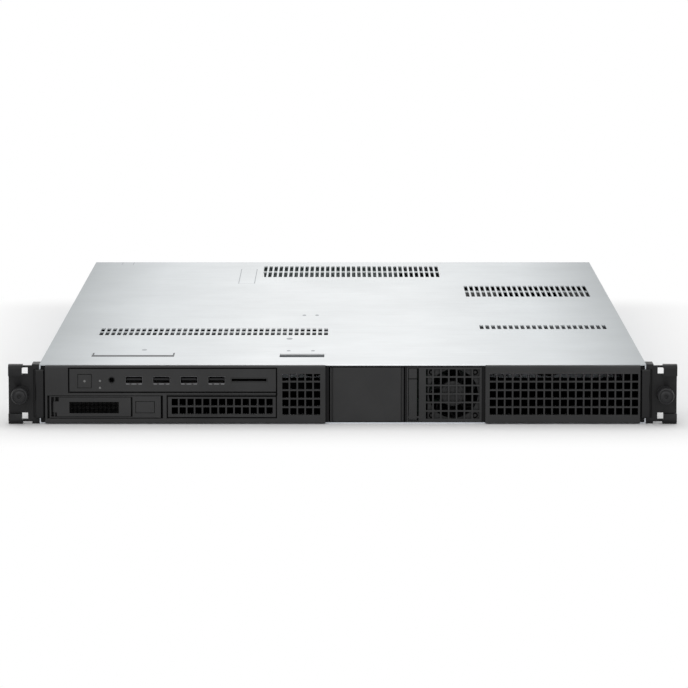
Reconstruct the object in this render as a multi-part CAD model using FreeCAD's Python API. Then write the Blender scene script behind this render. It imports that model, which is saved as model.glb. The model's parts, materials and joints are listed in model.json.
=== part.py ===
import FreeCAD, Part
import math
import os

# A 1U rack server, in millimetres. X runs to the right as seen from the front, Y runs
# from the front to the rear, Z is up. The origin is the middle of the footprint.
# A "start" is measured from the body's left side, and a "place" from the front face of
# the ear flanges towards the rear. Heights are above the underside.

V = FreeCAD.Vector
X_AXIS = V(1, 0, 0)
Y_AXIS = V(0, 1, 0)
Z_AXIS = V(0, 0, 1)

# ---------------------------------------------------------------- chassis
rack_width = 482.6          # over both ears
ear_reach = 22.3            # each ear beyond the body
body_height = 43.2
body_depth = 687.0          # ear flanges to rear face
sheet = 1.0                 # chassis sheet steel
thin_sheet = 0.8            # cage and fan-wall sheet steel
fit = 0.3                   # gap round parts that drop in or slide
pin_fit = 0.05              # radial, for pins and shafts
screw_fit = 0.1             # radial, round a screw in its hole
pcb = 1.6                   # thickness of every printed board
lip_width = 6.0             # inward lips of the side walls
rail_depth = 12.0           # top rail of the front frame
round_sides = 28            # flats on large hidden rounds
small_sides = 12            # flats on small hidden rounds
hexagon = 6

# ---------------------------------------------------------------- front bezels
bezel_depth = 4.0
bezel_low = 0.7
bezel_high = 42.6
bezel_chamfer = 1.1
bezel_gap = 1.0             # from each bezel to the pillar beside it
left_bezel_gap = 2.5        # from the left bezel to the first bay
right_bezel_gap = 2.2       # from the second bay to the right bezel
grille_pitch_x = 5.7
grille_pitch_z = 6.2
grille_bar = 1.1
grille_low = 6.8
grille_rows = 5
left_grille_back = 33.6     # left of the first bay
left_grille_columns = 5
right_grille_margin = 3.05
right_grille_edge = 1.2
low_grille_start = 95.5
low_grille_columns = 13
low_grille_rows = 2
low_grille_low = 7.4
groove_width = 0.9          # seams moulded into the left bezel
groove_depth = 0.8
groove_start = 91.9
groove_low = 4.2
groove_high = 21.7
groove_end = 172.0

# ---------------------------------------------------------------- front I/O
panel_start = 21.9
panel_width = 148.9
panel_low = 23.8
panel_high = 40.3
panel_depth = 3.4
panel_gap = 1.0             # shadow gap to the bezel all round
panel_seat = 1.5            # how far the panel laps the frame behind it
port_height = 32.2          # centre line of the sockets
button_start = 32.8
button_size = 9.5
button_height = 31.4
button_proud = 0.5          # beyond the panel
button_travel = 1.0
button_depth = 2.6
stem_radius = 1.5
stem_length = 9.5
light_start = 43.9
light_radius = 0.8
light_heights = (31.5, 26.5)
jack_start = 52.3
jack_bore = 1.8
jack_nose = 2.3
jack_body = 6.0
jack_length = 14.0
usb_start = 68.4
usb_pitch = 19.87
usb_count = 4
usb_width = 12.5
usb_height = 5.12
usb_length = 17.0
usb_wall = 0.3
usb_tongue = 1.8
usb_tongue_back = 0.9
card_start = 151.5
card_width = 26.2
card_height = 3.0
card_length = 27.0
card_wall = 0.5
io_board_end = 62.0
io_board_margin = 3.0
io_board_gap = 2.0          # behind the ear flanges' front face

# ---------------------------------------------------------------- power-supply bays
bay_start = 209.0
bay_width = 54.9
supply_depth = 219.0
bay_spare = 2.0             # bay behind the supply's end
supply_low = 1.3
supply_height = 39.6
supply_face = 2.0
supply_sheet = 0.8
supply_grille_margin = 13.9
supply_grille_columns = 7
supply_grille_rows = 6
supply_grille_pitch_x = 5.68
supply_grille_pitch_z = 6.2
supply_grille_low = 3.5
strip_margin = 1.5          # lever and release, from the supply's left edge
strip_width = 5.9
strip_gap_left = 0.4
strip_gap_right = 1.4
lever_proud = 0.7
lever_depth = 2.4
lever_low = 2.4
lever_high = 32.3
lever_round = 1.1
lever_pin_height = 4.6
lever_pin_radius = 0.9
release_low = 32.8
release_high = 40.0
release_travel = 2.0
release_stem = 2.0
tongue_width = 44.0
tongue_level = 12.0
tongue_reach = 6.0
supply_leg = 5.0
supply_parts = (
    # from the left edge, from the rear, width, length, height above the board
    (16.9, 149.0, 30.0, 34.0, 26.0), (41.1, 157.0, 16.0, 46.0, 24.0), (13.1, 101.0, 20.0, 60.0, 22.0),
    (37.1, 97.0, 24.0, 52.0, 27.0), (27.1, 33.0, 40.0, 18.0, 20.0),
)
blank_depth = 40.0
blank_wall = 2.0
blank_gap = 0.8
blank_groove = 0.8

# ---------------------------------------------------------------- fans
fan_size = 40.0
fan_depth = 28.0
fan_bore = 19.0
fan_tip_gap = 0.6
fan_hub = 9.0
fan_blades = 7
fan_blade_pitch = 38.0      # degrees
fan_blade_chord = 17.0
fan_blade_thickness = 1.0
fan_shaft = 1.5
fan_back = 1.5              # arms and boss behind the rotor
front_fans = 5
fan_first = 31.0
fan_pitch = 41.0
supply_fan_size = 37.4
supply_fan_bore = 18.0
supply_fan_margin = 33.8    # from the supply's left edge

# ---------------------------------------------------------------- drive bay
carrier_start = 7.4
carrier_width = 80.3
carrier_low = 4.7
carrier_height = 15.8
carrier_gap = 0.5           # to the cage all round
carrier_shadow = 1.6        # to the bezel at each side
carrier_shell = 0.7
carrier_end = 1.2
carrier_proud = 3.5
bulkhead_place = 4.0
drive_width = 69.85
drive_length = 100.2
drive_height = 15.0
drive_place = 6.0
drive_gap = 0.2
cage_spare = 11.8           # cage behind the drive's end
plug_rise = 3.2
plug_height = 4.8
handle_margin = 2.3         # handle's left end, from the carrier's
handle_length = 56.4
handle_thick = 3.0
handle_round = 1.2
handle_notch = 2.9          # height of the notches over and under the pivot
handle_notch_top = 4.4
handle_notch_low = 2.9
handle_pivot_margin = 3.6
handle_pivot_place = -2.0
handle_pin = 0.7
handle_pin_seat = 1.2
handle_grille_margin = 14.3
handle_grille_columns = 12
handle_grille_rows = 3
handle_grille_pitch = 3.05
handle_grille_low = 8.0
handle_bar = 0.9
fixed_gap = 1.2             # between the handle and the fixed part of the carrier
carrier_button_margin = 2.4
carrier_button_width = 13.3
carrier_button_low = 8.4
carrier_button_height = 8.0
carrier_button_proud = 0.3
carrier_button_travel = 1.5

# ---------------------------------------------------------------- ears
ear_plate = 2.5             # flange and side plate
ear_side_depth = 70.0
ear_side_high = 36.0
ear_low = 1.6
ear_high = 42.3
pillar_lap = 3.3            # over the body's front
pillar_width = 6.1
pillar_low = 4.4
pillar_high = 39.6
pillar_radius = 1.1
ear_groove = 1.6
ear_groove_depth = 1.5
corner_width = 10.3
corner_top = 8.2
corner_bottom = 7.6
corner_radius = 3.0
window_margin = 11.7        # centre of each window, from the ear's outer edge
window_width = 4.4
window_height = 4.6
window_heights = (5.7, 38.6)
rack_hole_margin = 8.75     # screw centre, from the ear's outer edge
knob_proud = 15.0
knob_radius = 6.1
knob_side = 13.4            # reach of the straight side
knob_shoulder = 14.4
knob_shoulder_radius = 5.5
knob_face = 4.2
knob_recess = 1.5
knob_recess_depth = 2.0
neck_radius = 2.0
neck_spare = 2.6            # neck behind the flange, before the thread
shank_radius = 2.4
shank_reach = 14.0          # beyond the rear of the flange
knuckle_reach = 18.0
knuckle_width = 5.4
knuckle_height = 7.2
knuckle_radius = 3.0
ear_screw_radius = 1.9
ear_screw_head = 3.2
ear_screw_head_height = 1.4
ear_screw_place = 30.0
ear_screw_pitch = 28.0
ear_screw_low = 10.0
ear_screw_rise = 20.0
ear_screws_each = 2

# ---------------------------------------------------------------- top cover
cover_round = 0.8           # front edge
vent_pitch = 4.52
vent_slot = 3.0
vent_web = 3.0              # between the rows of a vent field
duct_vent_start = 33.0
duct_vent_columns = 39
duct_vent_ahead = 69.3      # ahead of the fan wall
duct_vent_slot = 19.3
duct_vent_rows = 2
rear_vent_start = 150.2
rear_vent_columns = 34
rear_vent_ahead = 119.0     # ahead of the rear face
rear_vent_slot = 42.0
rear_vent_rows = 2
graphics_vent_back = 1.2    # left of the graphics card
graphics_vent_ahead = 1.5
graphics_vent_slot = 38.0
graphics_vent_rows = 2
side_vent_start = 325.1
side_vent_ahead = 32.0      # ahead of the fan wall
side_vent_slot = 25.0
vent_margin = 13.0          # to the body's right side
thumb_start = 34.3
thumb_width = 60.5
thumb_place = 52.3
thumb_length = 13.0
thumb_depth = 0.6
latch_start = 172.8
latch_width = 32.7
latch_place = 39.5
latch_length = 19.0
latch_travel = 5.0
latch_thick = 0.7           # below the cover
latch_flange = 2.0
hook_length = 14.0
hook_reach = 3.0
hook_count = 4
hook_first = 60.0
hook_last = 57.0            # from the rear

# ---------------------------------------------------------------- rear panel
port_wall = 0.6
port_length = 19.0
port_proud = 0.75
rear_ports = (
    # start of the middle, width, height
    (23.0, 16.2, 13.6), (43.0, 16.2, 13.6), (65.0, 14.6, 15.6), (85.0, 14.6, 15.6), (111.0, 17.0, 5.6),
)
panel_vent_start = 15.0
panel_vent_columns = 30
panel_vent_low = 27.0
panel_vent_height = 9.0
bracket_edge = 4.0
bracket_lap = 2.0
bracket_drop = 3.0
bracket_rise = 12.0
inlet_proud = 1.5
inlet_flange_width = 22.4
inlet_flange_height = 31.0
inlet_body_width = 19.4
inlet_body_height = 27.4
inlet_depth = 26.0
inlet_cavity_width = 15.6
inlet_cavity_height = 24.0
inlet_cavity_depth = 16.5
inlet_pin_width = 2.0
inlet_pin_height = 4.0
inlet_pin_length = 14.0
inlet_pin_spacing = 7.0
cable_radius = 2.3
cable_pitch = 6.2
stud_neck = 2.5
stud_head = 4.2
stud_neck_length = 1.6
stud_head_length = 1.4
stud_first = 130.0
stud_last = 117.0           # from the rear
stud_stagger = 4.0          # left studs are set back, so the rails can't be swapped

# ---------------------------------------------------------------- inside
backplane_gap = 9.0         # behind the supply
wall_gap = 10.0             # fan wall behind the power backplane
board_start = 8.0
board_width = 256.0
board_gap = 100.0           # behind the fan wall
board_back = 9.0            # ahead of the rear face
standoff_height = 5.5
standoff_radius = 2.5
standoff_margin = 8.0
standoff_rows = 3
cpu_start = 137.0
cpu_gap = 80.0              # behind the board's front edge
cpu_width = 52.0
cpu_length = 58.0
cpu_height = 6.0
sink_width = 78.0
sink_length = 108.0
sink_base = 5.0
sink_height = 25.0
sink_fins = 20
sink_fin = 0.9
memory_length = 133.35
memory_height = 24.0
memory_thick = 1.3
memory_pitch = 9.4
memory_count = 4            # on each side of the processor
memory_offset = 52.0        # first socket from the processor's middle
socket_length = 142.0
socket_width = 6.5
socket_height = 8.0
socket_groove = 5.0
front_parts = (
    # start of the middle, behind the board's front edge, width, length, height
    (137.0, 5.0, 60.0, 8.0, 9.0), (239.0, 12.0, 30.0, 12.0, 12.0),
)
rear_parts = (
    # start of the middle, ahead of the board's rear edge, width, length, height
    (27.0, 118.0, 22.0, 22.0, 2.0), (59.0, 78.0, 18.0, 18.0, 2.4),
    (231.0, 118.0, 14.0, 40.0, 3.0), (219.0, 78.0, 12.0, 30.0, 4.0),
)
cell_radius = 10.0
cell_height = 3.2
cell_start = 239.0
cell_back = 78.0            # ahead of the board's rear edge
channel_gap = 4.0           # power channel beside the board
channel_width = 46.0
card_left_start = 157.0
card_right_start = 266.0
card_gap = 103.0            # behind the processor's middle
card_level = 24.0
card_sink_width = 39.0
card_sink_length = 39.0
graphics_gap = 8.0          # beside the power channel and the wall
graphics_behind = 86.0      # behind the system board's front edge
graphics_level = 5.0
shroud_high = 39.8
shroud_wall = 1.2
shroud_opening_low = 7.0
blower_share = 0.28         # of the graphics card's width
blower_gap = 5.8
blower_clear = 1.2
blower_blades = 24
blower_hub_share = 0.4
blower_ring_share = 0.67
blower_shaft = 2.0

# ---------------------------------------------------------------- derived places
half_rack = rack_width / 2
half_body = half_rack - ear_reach
flange = (knob_proud - body_depth - inlet_proud) / 2     # Y of the ear flanges' front
rear = flange + body_depth
rack_middle = body_height / 2
rack_screw_spacing = rack_width - 2 * rack_hole_margin
cover_under = body_height - sheet
latch_under = cover_under - latch_thick
wall_in = half_body - sheet
lip_edge = half_body - lip_width
hook_edge = lip_edge - fit
hook_bottom = cover_under - 2 * sheet - fit
bay_left = bay_start - half_body
bay_right = bay_left + bay_width
bay_depth = supply_depth + bay_spare
second_bay_left = bay_right + sheet
second_bay_right = second_bay_left + bay_width
cage_top = cover_under - thin_sheet
supply_left = second_bay_left + fit
supply_width = bay_width - 2 * fit
supply_right = supply_left + supply_width
supply_top = supply_low + supply_height
strip_left = supply_left + strip_margin
lever_pin_place = lever_depth / 2 - lever_proud
tongue_left = supply_left + (supply_width - tongue_width) / 2
tongue_right = tongue_left + tongue_width
pillar_inner = half_body - pillar_lap
pillar_outer = pillar_inner + pillar_width
bezel_outer = pillar_inner - bezel_gap
left_bezel_end = bay_left - left_bezel_gap
right_bezel_start = second_bay_right + right_bezel_gap
left_grille_x = bay_left - left_grille_back
right_grille_x = right_bezel_start + right_grille_margin
right_grille_columns = int((bezel_outer + grille_bar - right_grille_edge - right_grille_x) / grille_pitch_x)
low_grille_x = low_grille_start - half_body
panel_left = panel_start - half_body
panel_right = panel_left + panel_width
button_x = button_start - half_body
light_x = light_start - half_body
jack_x = jack_start - half_body
usb_positions = [usb_start - half_body + usb_pitch * i for i in range(usb_count)]
card_x = card_start - half_body
io_board_top = port_height - usb_height / 2
carrier_left = carrier_start - half_body
carrier_right = carrier_left + carrier_width
carrier_high = carrier_low + carrier_height
carrier_middle = carrier_left + carrier_width / 2
carrier_rail = (carrier_width - drive_width) / 2 - drive_gap
cage_depth = drive_place + drive_length + cage_spare
handle_left = carrier_left + handle_margin
handle_end = handle_left + handle_length
handle_low = carrier_low + carrier_shell + fit
handle_high = carrier_high - carrier_shell - fit
handle_pivot_x = carrier_left + handle_pivot_margin
handle_grille_x = carrier_left + handle_grille_margin
fixed_start = handle_end + fixed_gap
carrier_button_left = fixed_start + carrier_button_margin
window_x = half_rack - window_margin
backplane_place = supply_depth + backplane_gap
fan_wall_place = backplane_place + wall_gap
fan_start = fan_wall_place + thin_sheet
fan_positions = [fan_first - half_body + fan_pitch * i for i in range(front_fans)]
fan_positions.append((second_bay_right + wall_in) / 2)
fan_centre = sheet + fan_size / 2
supply_fan_x = supply_left + supply_fan_margin
supply_fan_centre = supply_top - supply_sheet - supply_fan_size / 2
board_left = board_start - half_body
board_right = board_left + board_width
board_place = fan_wall_place + board_gap
board_end = body_depth - board_back
board_level = sheet + standoff_height
board_top = board_level + pcb
cpu_x = cpu_start - half_body
cpu_place = board_place + cpu_gap
channel_left = board_right + channel_gap
channel_right = channel_left + channel_width
card_left = card_left_start - half_body
card_right = card_right_start - half_body
card_place = cpu_place + card_gap
graphics_left = channel_right + graphics_gap
graphics_right = half_body - graphics_gap
graphics_place = board_place + graphics_behind
graphics_end = rear - 2 * sheet - fit
blower_radius = (graphics_right - graphics_left) * blower_share
blower_x = (graphics_left + graphics_right) / 2
blower_place = graphics_place + shroud_wall + blower_gap + blower_radius
stud_places = [stud_first, (stud_first + body_depth - stud_last) / 2, body_depth - stud_last]
hook_pitch = (body_depth - hook_last - hook_first) / (hook_count - 1)


# ---------------------------------------------------------------- helpers
def block(x0, x1, y0, y1, z0, z1):
    return Part.makeBox(x1 - x0, y1 - y0, z1 - z0, V(x0, y0, z0))


def fused(shapes):
    return shapes[0].multiFuse(shapes[1:]).removeSplitter() if len(shapes) > 1 else shapes[0]


def group(solids):
    return Part.makeCompound(solids)


def mirrored(shape):
    return shape.mirror(V(0, 0, 0), X_AXIS)


def rectangle(a0, a1, b0, b1):
    return [(a0, b0), (a1, b0), (a1, b1), (a0, b1)]


def centred(a, b, width, height):
    return rectangle(a - width / 2, a + width / 2, b - height / 2, b + height / 2)


def loop(points, place):
    """A closed wire through points, each put in space by place(a, b)."""
    corners = [place(a, b) for a, b in points]
    return Part.makePolygon(corners + corners[:1])


def pierced(outline, windows, place, push):
    """A plate with windows: the outline and windows are loops of (a, b) points."""
    wires = [loop(points, place) for points in [outline] + windows]
    return Part.makeFace(wires, "Part::FaceMakerBullseye").extrude(push)


def front_plate(outline, windows, y0, y1):
    return pierced(outline, windows, lambda a, b: V(a, y0, b), V(0, y1 - y0, 0))


def flat_plate(outline, windows, z0, z1):
    return pierced(outline, windows, lambda a, b: V(a, b, z0), V(0, 0, z1 - z0))


def side_profile(points, x0, x1):
    """A profile of (y, z) points pushed from x0 to x1."""
    return pierced(points, [], lambda a, b: V(x0, a, b), V(x1 - x0, 0, 0))


def grid(a0, pitch_a, columns, size_a, b0, pitch_b, rows, size_b):
    return [
        rectangle(a0 + pitch_a * i, a0 + pitch_a * i + size_a,
                  b0 + pitch_b * j, b0 + pitch_b * j + size_b)
        for i in range(columns) for j in range(rows)
    ]


def rod(radius, length, start, axis):
    return Part.makeCylinder(radius, length, start, axis)


def polygon(radius, sides, a, b):
    turns = [2 * math.pi * (k + 1 / 2) / sides for k in range(sides)]
    return [(a + radius * math.cos(t), b + radius * math.sin(t)) for t in turns]


def around(radius, sides):
    """Corner radius of a regular polygon whose flats clear a circle of this radius."""
    return radius / math.cos(math.pi / sides)


def side_prism(radius, sides, x0, x1, y, z):
    return pierced(polygon(radius, sides, y, z), [], lambda a, b: V(x0, a, b), V(x1 - x0, 0, 0))


def save(name, shape):
    shape.exportStep("parts/" + name + ".step")


# ---------------------------------------------------------------- chassis
def chassis_tray():
    profile = [
        (-half_body, 0), (half_body, 0), (half_body, cover_under), (lip_edge, cover_under),
        (lip_edge, cover_under - sheet), (wall_in, cover_under - sheet), (wall_in, sheet),
        (-wall_in, sheet), (-wall_in, cover_under - sheet), (-lip_edge, cover_under - sheet),
        (-lip_edge, cover_under), (-half_body, cover_under),
    ]
    tray = front_plate(profile, [], flange, rear)
    holes = [
        side_prism(around(ear_screw_radius + screw_fit, small_sides), small_sides,
                   min(ends), max(ends), y, z)
        for y, z in ear_screw_spots()
        for ends in ((wall_in - fit, half_body + fit), (-wall_in + fit, -half_body - fit))
    ]
    return tray.cut(group(holes))


def ear_screw_spots():
    return [(flange + ear_screw_place + ear_screw_pitch * i, ear_screw_low + ear_screw_rise * i)
            for i in range(ear_screws_each)]


def grille_opening(x, columns, z, rows):
    """The outline of a whole grille, from its first cell to its last."""
    return rectangle(x, x + columns * grille_pitch_x - grille_bar, z, z + rows * grille_pitch_z - grille_bar)


def grille_cells(x, columns, z, rows):
    return grid(x, grille_pitch_x, columns, grille_pitch_x - grille_bar,
                z, grille_pitch_z, rows, grille_pitch_z - grille_bar)


def front_frame():
    """The plate behind the bezels, and the top rail that rests on it."""
    top = cover_under - sheet
    windows = [
        rectangle(panel_left + panel_seat, panel_right - panel_seat,
                  panel_low + panel_seat, panel_high - panel_seat),
        rectangle(carrier_left - carrier_gap, carrier_right + carrier_gap,
                  carrier_low - carrier_gap, carrier_high + carrier_gap),
        grille_opening(low_grille_x, low_grille_columns, low_grille_low, low_grille_rows),
        grille_opening(left_grille_x, left_grille_columns, grille_low, grille_rows),
        grille_opening(right_grille_x, right_grille_columns, grille_low, grille_rows),
    ]
    plate = front_plate(rectangle(-wall_in, wall_in, sheet, top), windows, flange, flange + sheet)
    bays = [
        block(x, x + bay_width, flange, flange + sheet, sheet, top)
        for x in (bay_left, second_bay_left)
    ]
    rail = block(-hook_edge, hook_edge, flange, flange + rail_depth, top, cover_under)
    return group([plate.cut(group(bays)), rail])


def rear_windows():
    """Openings of the rear panel: ports, card slots, power inlets and vents."""
    openings = [
        rectangle(x - width / 2 - fit, x + width / 2 + fit, board_top - fit, board_top + height + fit)
        for x, width, height in port_spots()
    ]
    openings += [centred(x, rack_middle, inlet_body_width + 2 * fit, inlet_body_height + 2 * fit)
                 for x in inlet_places()]
    openings.append(rectangle(card_left + bracket_edge, card_right - bracket_edge,
                              card_level - bracket_drop, card_level + bracket_rise))
    openings.append(rectangle(graphics_left + bracket_edge, graphics_right - bracket_edge,
                              shroud_opening_low, shroud_high - bracket_lap))
    openings += grid(panel_vent_start - half_body, vent_pitch, panel_vent_columns, vent_slot,
                     panel_vent_low, panel_vent_height, 1, panel_vent_height)
    return openings


def port_spots():
    return [(start - half_body, width, height) for start, width, height in rear_ports]


def inlet_places():
    middle = (channel_left + channel_right) / 2
    return (middle - inlet_flange_width / 2 - fit, middle + inlet_flange_width / 2 + fit)


def rear_panel():
    notch_x = hook_edge - sheet - fit
    notch_z = hook_bottom - fit
    top = latch_under - fit
    outline = [(-wall_in, sheet), (wall_in, sheet), (wall_in, notch_z), (notch_x, notch_z), (notch_x, top),
               (-notch_x, top), (-notch_x, notch_z), (-wall_in, notch_z)]
    return front_plate(outline, rear_windows(), rear - sheet, rear)


def rail_studs():
    studs = []
    for side, set_back in ((-1, stud_stagger), (1, 0)):
        for place in stud_places:
            y = flange + place + set_back
            neck_end = side * (half_body + stud_neck_length)
            head_end = neck_end + side * stud_head_length
            neck = rod(stud_neck, stud_neck_length, V(side * half_body, y, rack_middle), X_AXIS * side)
            head = side_prism(stud_head, round_sides, min(neck_end, head_end), max(neck_end, head_end),
                              y, rack_middle)
            studs.append(fused([neck, head]))
    return group(studs)


# ---------------------------------------------------------------- ears
def front_edges(solid, behind):
    return [e for e in solid.Edges if e.BoundBox.YMax < behind]


def long_edges_at(solid, level, y0, y1):
    """Edges that run along X at one height, between two places along Y."""
    return [e for e in solid.Edges if abs(e.BoundBox.ZMin - level) < fit and e.BoundBox.ZLength < fit
            and e.BoundBox.YMin > y0 and e.BoundBox.YMax < y1]


def ear_corner(low, high, outer):
    front = flange - bezel_depth
    corner = block(half_rack - corner_width, half_rack, front, flange + ear_plate, low, high)
    edge = long_edges_at(corner, outer, front - fit, flange - bezel_depth / 2)
    return corner.makeFillet(corner_radius, edge)


def ear_knuckle(low, outer):
    back = flange + knuckle_reach
    knuckle = block(half_body, half_body + knuckle_width, flange, back, low, low + knuckle_height)
    edge = long_edges_at(knuckle, outer, flange + knuckle_reach / 2, back + fit)
    return knuckle.makeFillet(knuckle_radius, edge)


def right_ear():
    front = flange - bezel_depth
    back = flange + ear_plate
    seat = half_body + ear_plate
    side = block(half_body, seat, flange, flange + ear_side_depth, ear_low, ear_side_high)
    plate = block(half_body, half_rack, flange, back, ear_low, ear_high)
    pillar = block(pillar_inner, pillar_outer, front, flange, pillar_low, pillar_high)
    pillar = pillar.makeFillet(pillar_radius, front_edges(pillar, flange - bezel_depth / 2))
    ear = fused([
        side, plate, pillar,
        ear_corner(0, corner_bottom, 0),
        ear_corner(body_height - corner_top, body_height, body_height),
        ear_knuckle(0, 0),
        ear_knuckle(body_height - knuckle_height, body_height),
    ])
    tools = [
        front_plate(centred(window_x, z, window_width, window_height), [], front - fit, back + fit)
        for z in window_heights
    ]
    tools.append(block(pillar_outer, pillar_outer + ear_groove, flange, flange + ear_groove_depth,
                       pillar_low, pillar_high))
    tools.append(rod(neck_radius + pin_fit, 2 * ear_plate,
                     V(rack_screw_spacing / 2, flange - fit, rack_middle), Y_AXIS))
    tools += [
        side_prism(around(ear_screw_radius + screw_fit, small_sides), small_sides,
                   wall_in, seat + fit, y, z)
        for y, z in ear_screw_spots()
    ]
    return ear.cut(group(tools))


def right_thumbscrew():
    """A captive screw: its neck turns in the flange, and its thread starts behind it."""
    back = flange - fit
    face = flange - knob_proud
    recess = face + knob_recess_depth
    neck_end = flange + ear_plate + neck_spare
    end = flange + ear_plate + shank_reach
    outline = [
        (0, recess), (knob_recess, recess), (knob_recess, face), (knob_face, face),
        (knob_shoulder_radius, flange - knob_shoulder), (knob_radius, flange - knob_side),
        (knob_radius, back), (neck_radius, back), (neck_radius, neck_end), (shank_radius, neck_end),
        (shank_radius, end), (0, end),
    ]
    wire = loop(outline, lambda a, b: V(a, b, 0))
    screw = Part.Face(wire).revolve(V(0, 0, 0), Y_AXIS, 360)
    screw.translate(V(rack_screw_spacing / 2, 0, rack_middle))
    return screw


def ear_screws():
    screws = []
    seat = half_body + ear_plate
    for y, z in ear_screw_spots():
        head = side_prism(ear_screw_head, small_sides, seat, seat + ear_screw_head_height, y, z)
        shank = side_prism(ear_screw_radius, small_sides, wall_in, seat, y, z)
        screw = fused([head, shank])
        screws += [screw, mirrored(screw)]
    return group(screws)


# ---------------------------------------------------------------- front bezels
def bezel(x0, x1, windows):
    front = flange - bezel_depth
    low_chamfer = bezel_chamfer / 2
    plate = front_plate(rectangle(x0, x1, bezel_low, bezel_high), windows, front, flange)
    wedges = [
        side_profile([(front, bezel_high), (front, bezel_high - bezel_chamfer),
                      (front + bezel_chamfer, bezel_high)], x0, x1),
        side_profile([(front, bezel_low), (front, bezel_low + low_chamfer),
                      (front + low_chamfer, bezel_low)], x0, x1),
    ]
    return plate.cut(group(wedges))


def left_bezel():
    windows = [
        rectangle(panel_left - panel_gap, panel_right + panel_gap,
                  panel_low - panel_gap, panel_high + panel_gap),
        rectangle(carrier_left - carrier_shadow, carrier_right + carrier_shadow,
                  carrier_low - carrier_gap, carrier_high + carrier_gap),
    ]
    windows += grille_cells(low_grille_x, low_grille_columns, low_grille_low, low_grille_rows)
    windows += grille_cells(left_grille_x, left_grille_columns, grille_low, grille_rows)
    return bezel(-bezel_outer, left_bezel_end, windows).cut(group(bezel_seams()))


def bezel_seams():
    front = flange - bezel_depth
    x0 = groove_start - half_body
    x1 = groove_end - half_body
    inner = groove_high - groove_width
    return [
        block(x0, x0 + groove_width, front, front + groove_depth, groove_low, groove_high),
        block(x0, x1, front, front + groove_depth, inner, groove_high),
        block(x1 - groove_width, x1, front, front + groove_depth, inner, panel_low - panel_gap),
    ]


def right_bezel():
    windows = grille_cells(right_grille_x, right_grille_columns, grille_low, grille_rows)
    return bezel(right_bezel_start, bezel_outer, windows)


# ---------------------------------------------------------------- front I/O
def io_panel():
    front = flange - panel_depth
    windows = [
        centred(button_x, button_height, button_size + 2 * fit, button_size + 2 * fit),
        centred(card_x, port_height, card_width + fit, card_height + fit),
    ]
    windows += [centred(x, port_height, usb_width + fit, usb_height + fit) for x in usb_positions]
    windows += [polygon(around(light_radius + screw_fit, small_sides), small_sides, light_x, z)
                for z in light_heights]
    panel = front_plate(rectangle(panel_left, panel_right, panel_low, panel_high), windows, front, flange)
    return panel.cut(rod(jack_nose + fit / 2, panel_depth, V(jack_x, front, port_height), Y_AXIS))


def usb_ports():
    front = flange - panel_depth
    back = front + usb_length
    ports = []
    for x in usb_positions:
        outer = front_plate(centred(x, port_height, usb_width, usb_height), [], front, back)
        inner = front_plate(centred(x, port_height, usb_width - 2 * usb_wall, usb_height - 2 * usb_wall), [],
                            front, back - usb_wall)
        reach = usb_width / 2 - usb_tongue_back
        tongue = block(x - reach, x + reach, front + usb_tongue_back, back - usb_wall,
                       port_height, port_height + usb_tongue)
        ports.append(fused([outer.cut(inner), tongue]))
    return group(ports)


def headset_jack():
    front = flange - panel_depth
    body_front = flange + io_board_gap
    nose = rod(jack_nose, body_front - front, V(jack_x, front, port_height), Y_AXIS)
    body = block(jack_x - jack_body / 2, jack_x + jack_body / 2, body_front, front + jack_length + sheet,
                 io_board_top, port_height + jack_body / 2)
    bore = rod(jack_bore, jack_length, V(jack_x, front, port_height), Y_AXIS)
    return fused([nose, body]).cut(bore)


def card_reader():
    front = flange - panel_depth
    back = front + card_length
    shell = front_plate(centred(card_x, port_height, card_width, card_height), [], front, back)
    opening = centred(card_x, port_height, card_width - 2 * card_wall, card_height - 2 * card_wall)
    slot = front_plate(opening, [], front, back - card_wall)
    base = block(card_x - card_width / 2, card_x + card_width / 2, flange + io_board_gap, back,
                 io_board_top, port_height - card_height / 2)
    return fused([shell.cut(slot), base])


def io_board():
    end = flange + io_board_end
    leg = 2 * standoff_radius
    low = carrier_high + carrier_gap + thin_sheet
    board = block(panel_left + io_board_margin, panel_right - io_board_margin, flange + io_board_gap, end,
                  io_board_top - pcb, io_board_top)
    switch_front = button_stem_end() + button_travel + fit
    switch = block(button_x - button_depth, button_x + button_depth,
                   switch_front, switch_front + 2 * button_depth, io_board_top, button_height + button_depth)
    legs = [
        block(x, x + leg, end - leg, end, low, io_board_top - pcb)
        for x in (panel_left + leg, carrier_right - 2 * leg)
    ]
    return fused([board, switch] + legs)


def light_pipes():
    link_end = flange + io_board_gap - screw_fit
    pipes = [
        front_plate(polygon(light_radius, small_sides, light_x, z), [], flange - panel_depth, flange + sheet)
        for z in light_heights
    ]
    link = block(light_x - light_radius, light_x + light_radius, flange + sheet, link_end,
                 min(light_heights) - light_radius, max(light_heights) + light_radius)
    return fused(pipes + [link])


def button_front():
    return flange - panel_depth - button_proud


def button_stem_end():
    return button_front() + button_depth + stem_length


def power_button():
    front = button_front()
    outline = centred(button_x, button_height, button_size, button_size)
    cap = front_plate(outline, [], front, front + button_depth)
    stem = front_plate(polygon(stem_radius, small_sides, button_x, button_height), [],
                       front + button_depth, button_stem_end())
    return fused([cap, stem])


# ---------------------------------------------------------------- power-supply bays
def psu_cage():
    left = bay_left - sheet
    right = second_bay_right + sheet
    profile = [
        (left, sheet), (bay_left, sheet), (bay_left, cage_top), (bay_right, cage_top), (bay_right, sheet),
        (second_bay_left, sheet), (second_bay_left, cage_top), (second_bay_right, cage_top),
        (second_bay_right, sheet), (right, sheet), (right, cover_under), (left, cover_under),
    ]
    cage = front_plate(profile, [], flange + sheet, flange + bay_depth)
    step = block(left, right, flange + sheet, flange + rail_depth, cover_under - sheet, cover_under)
    return cage.cut(step)


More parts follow.
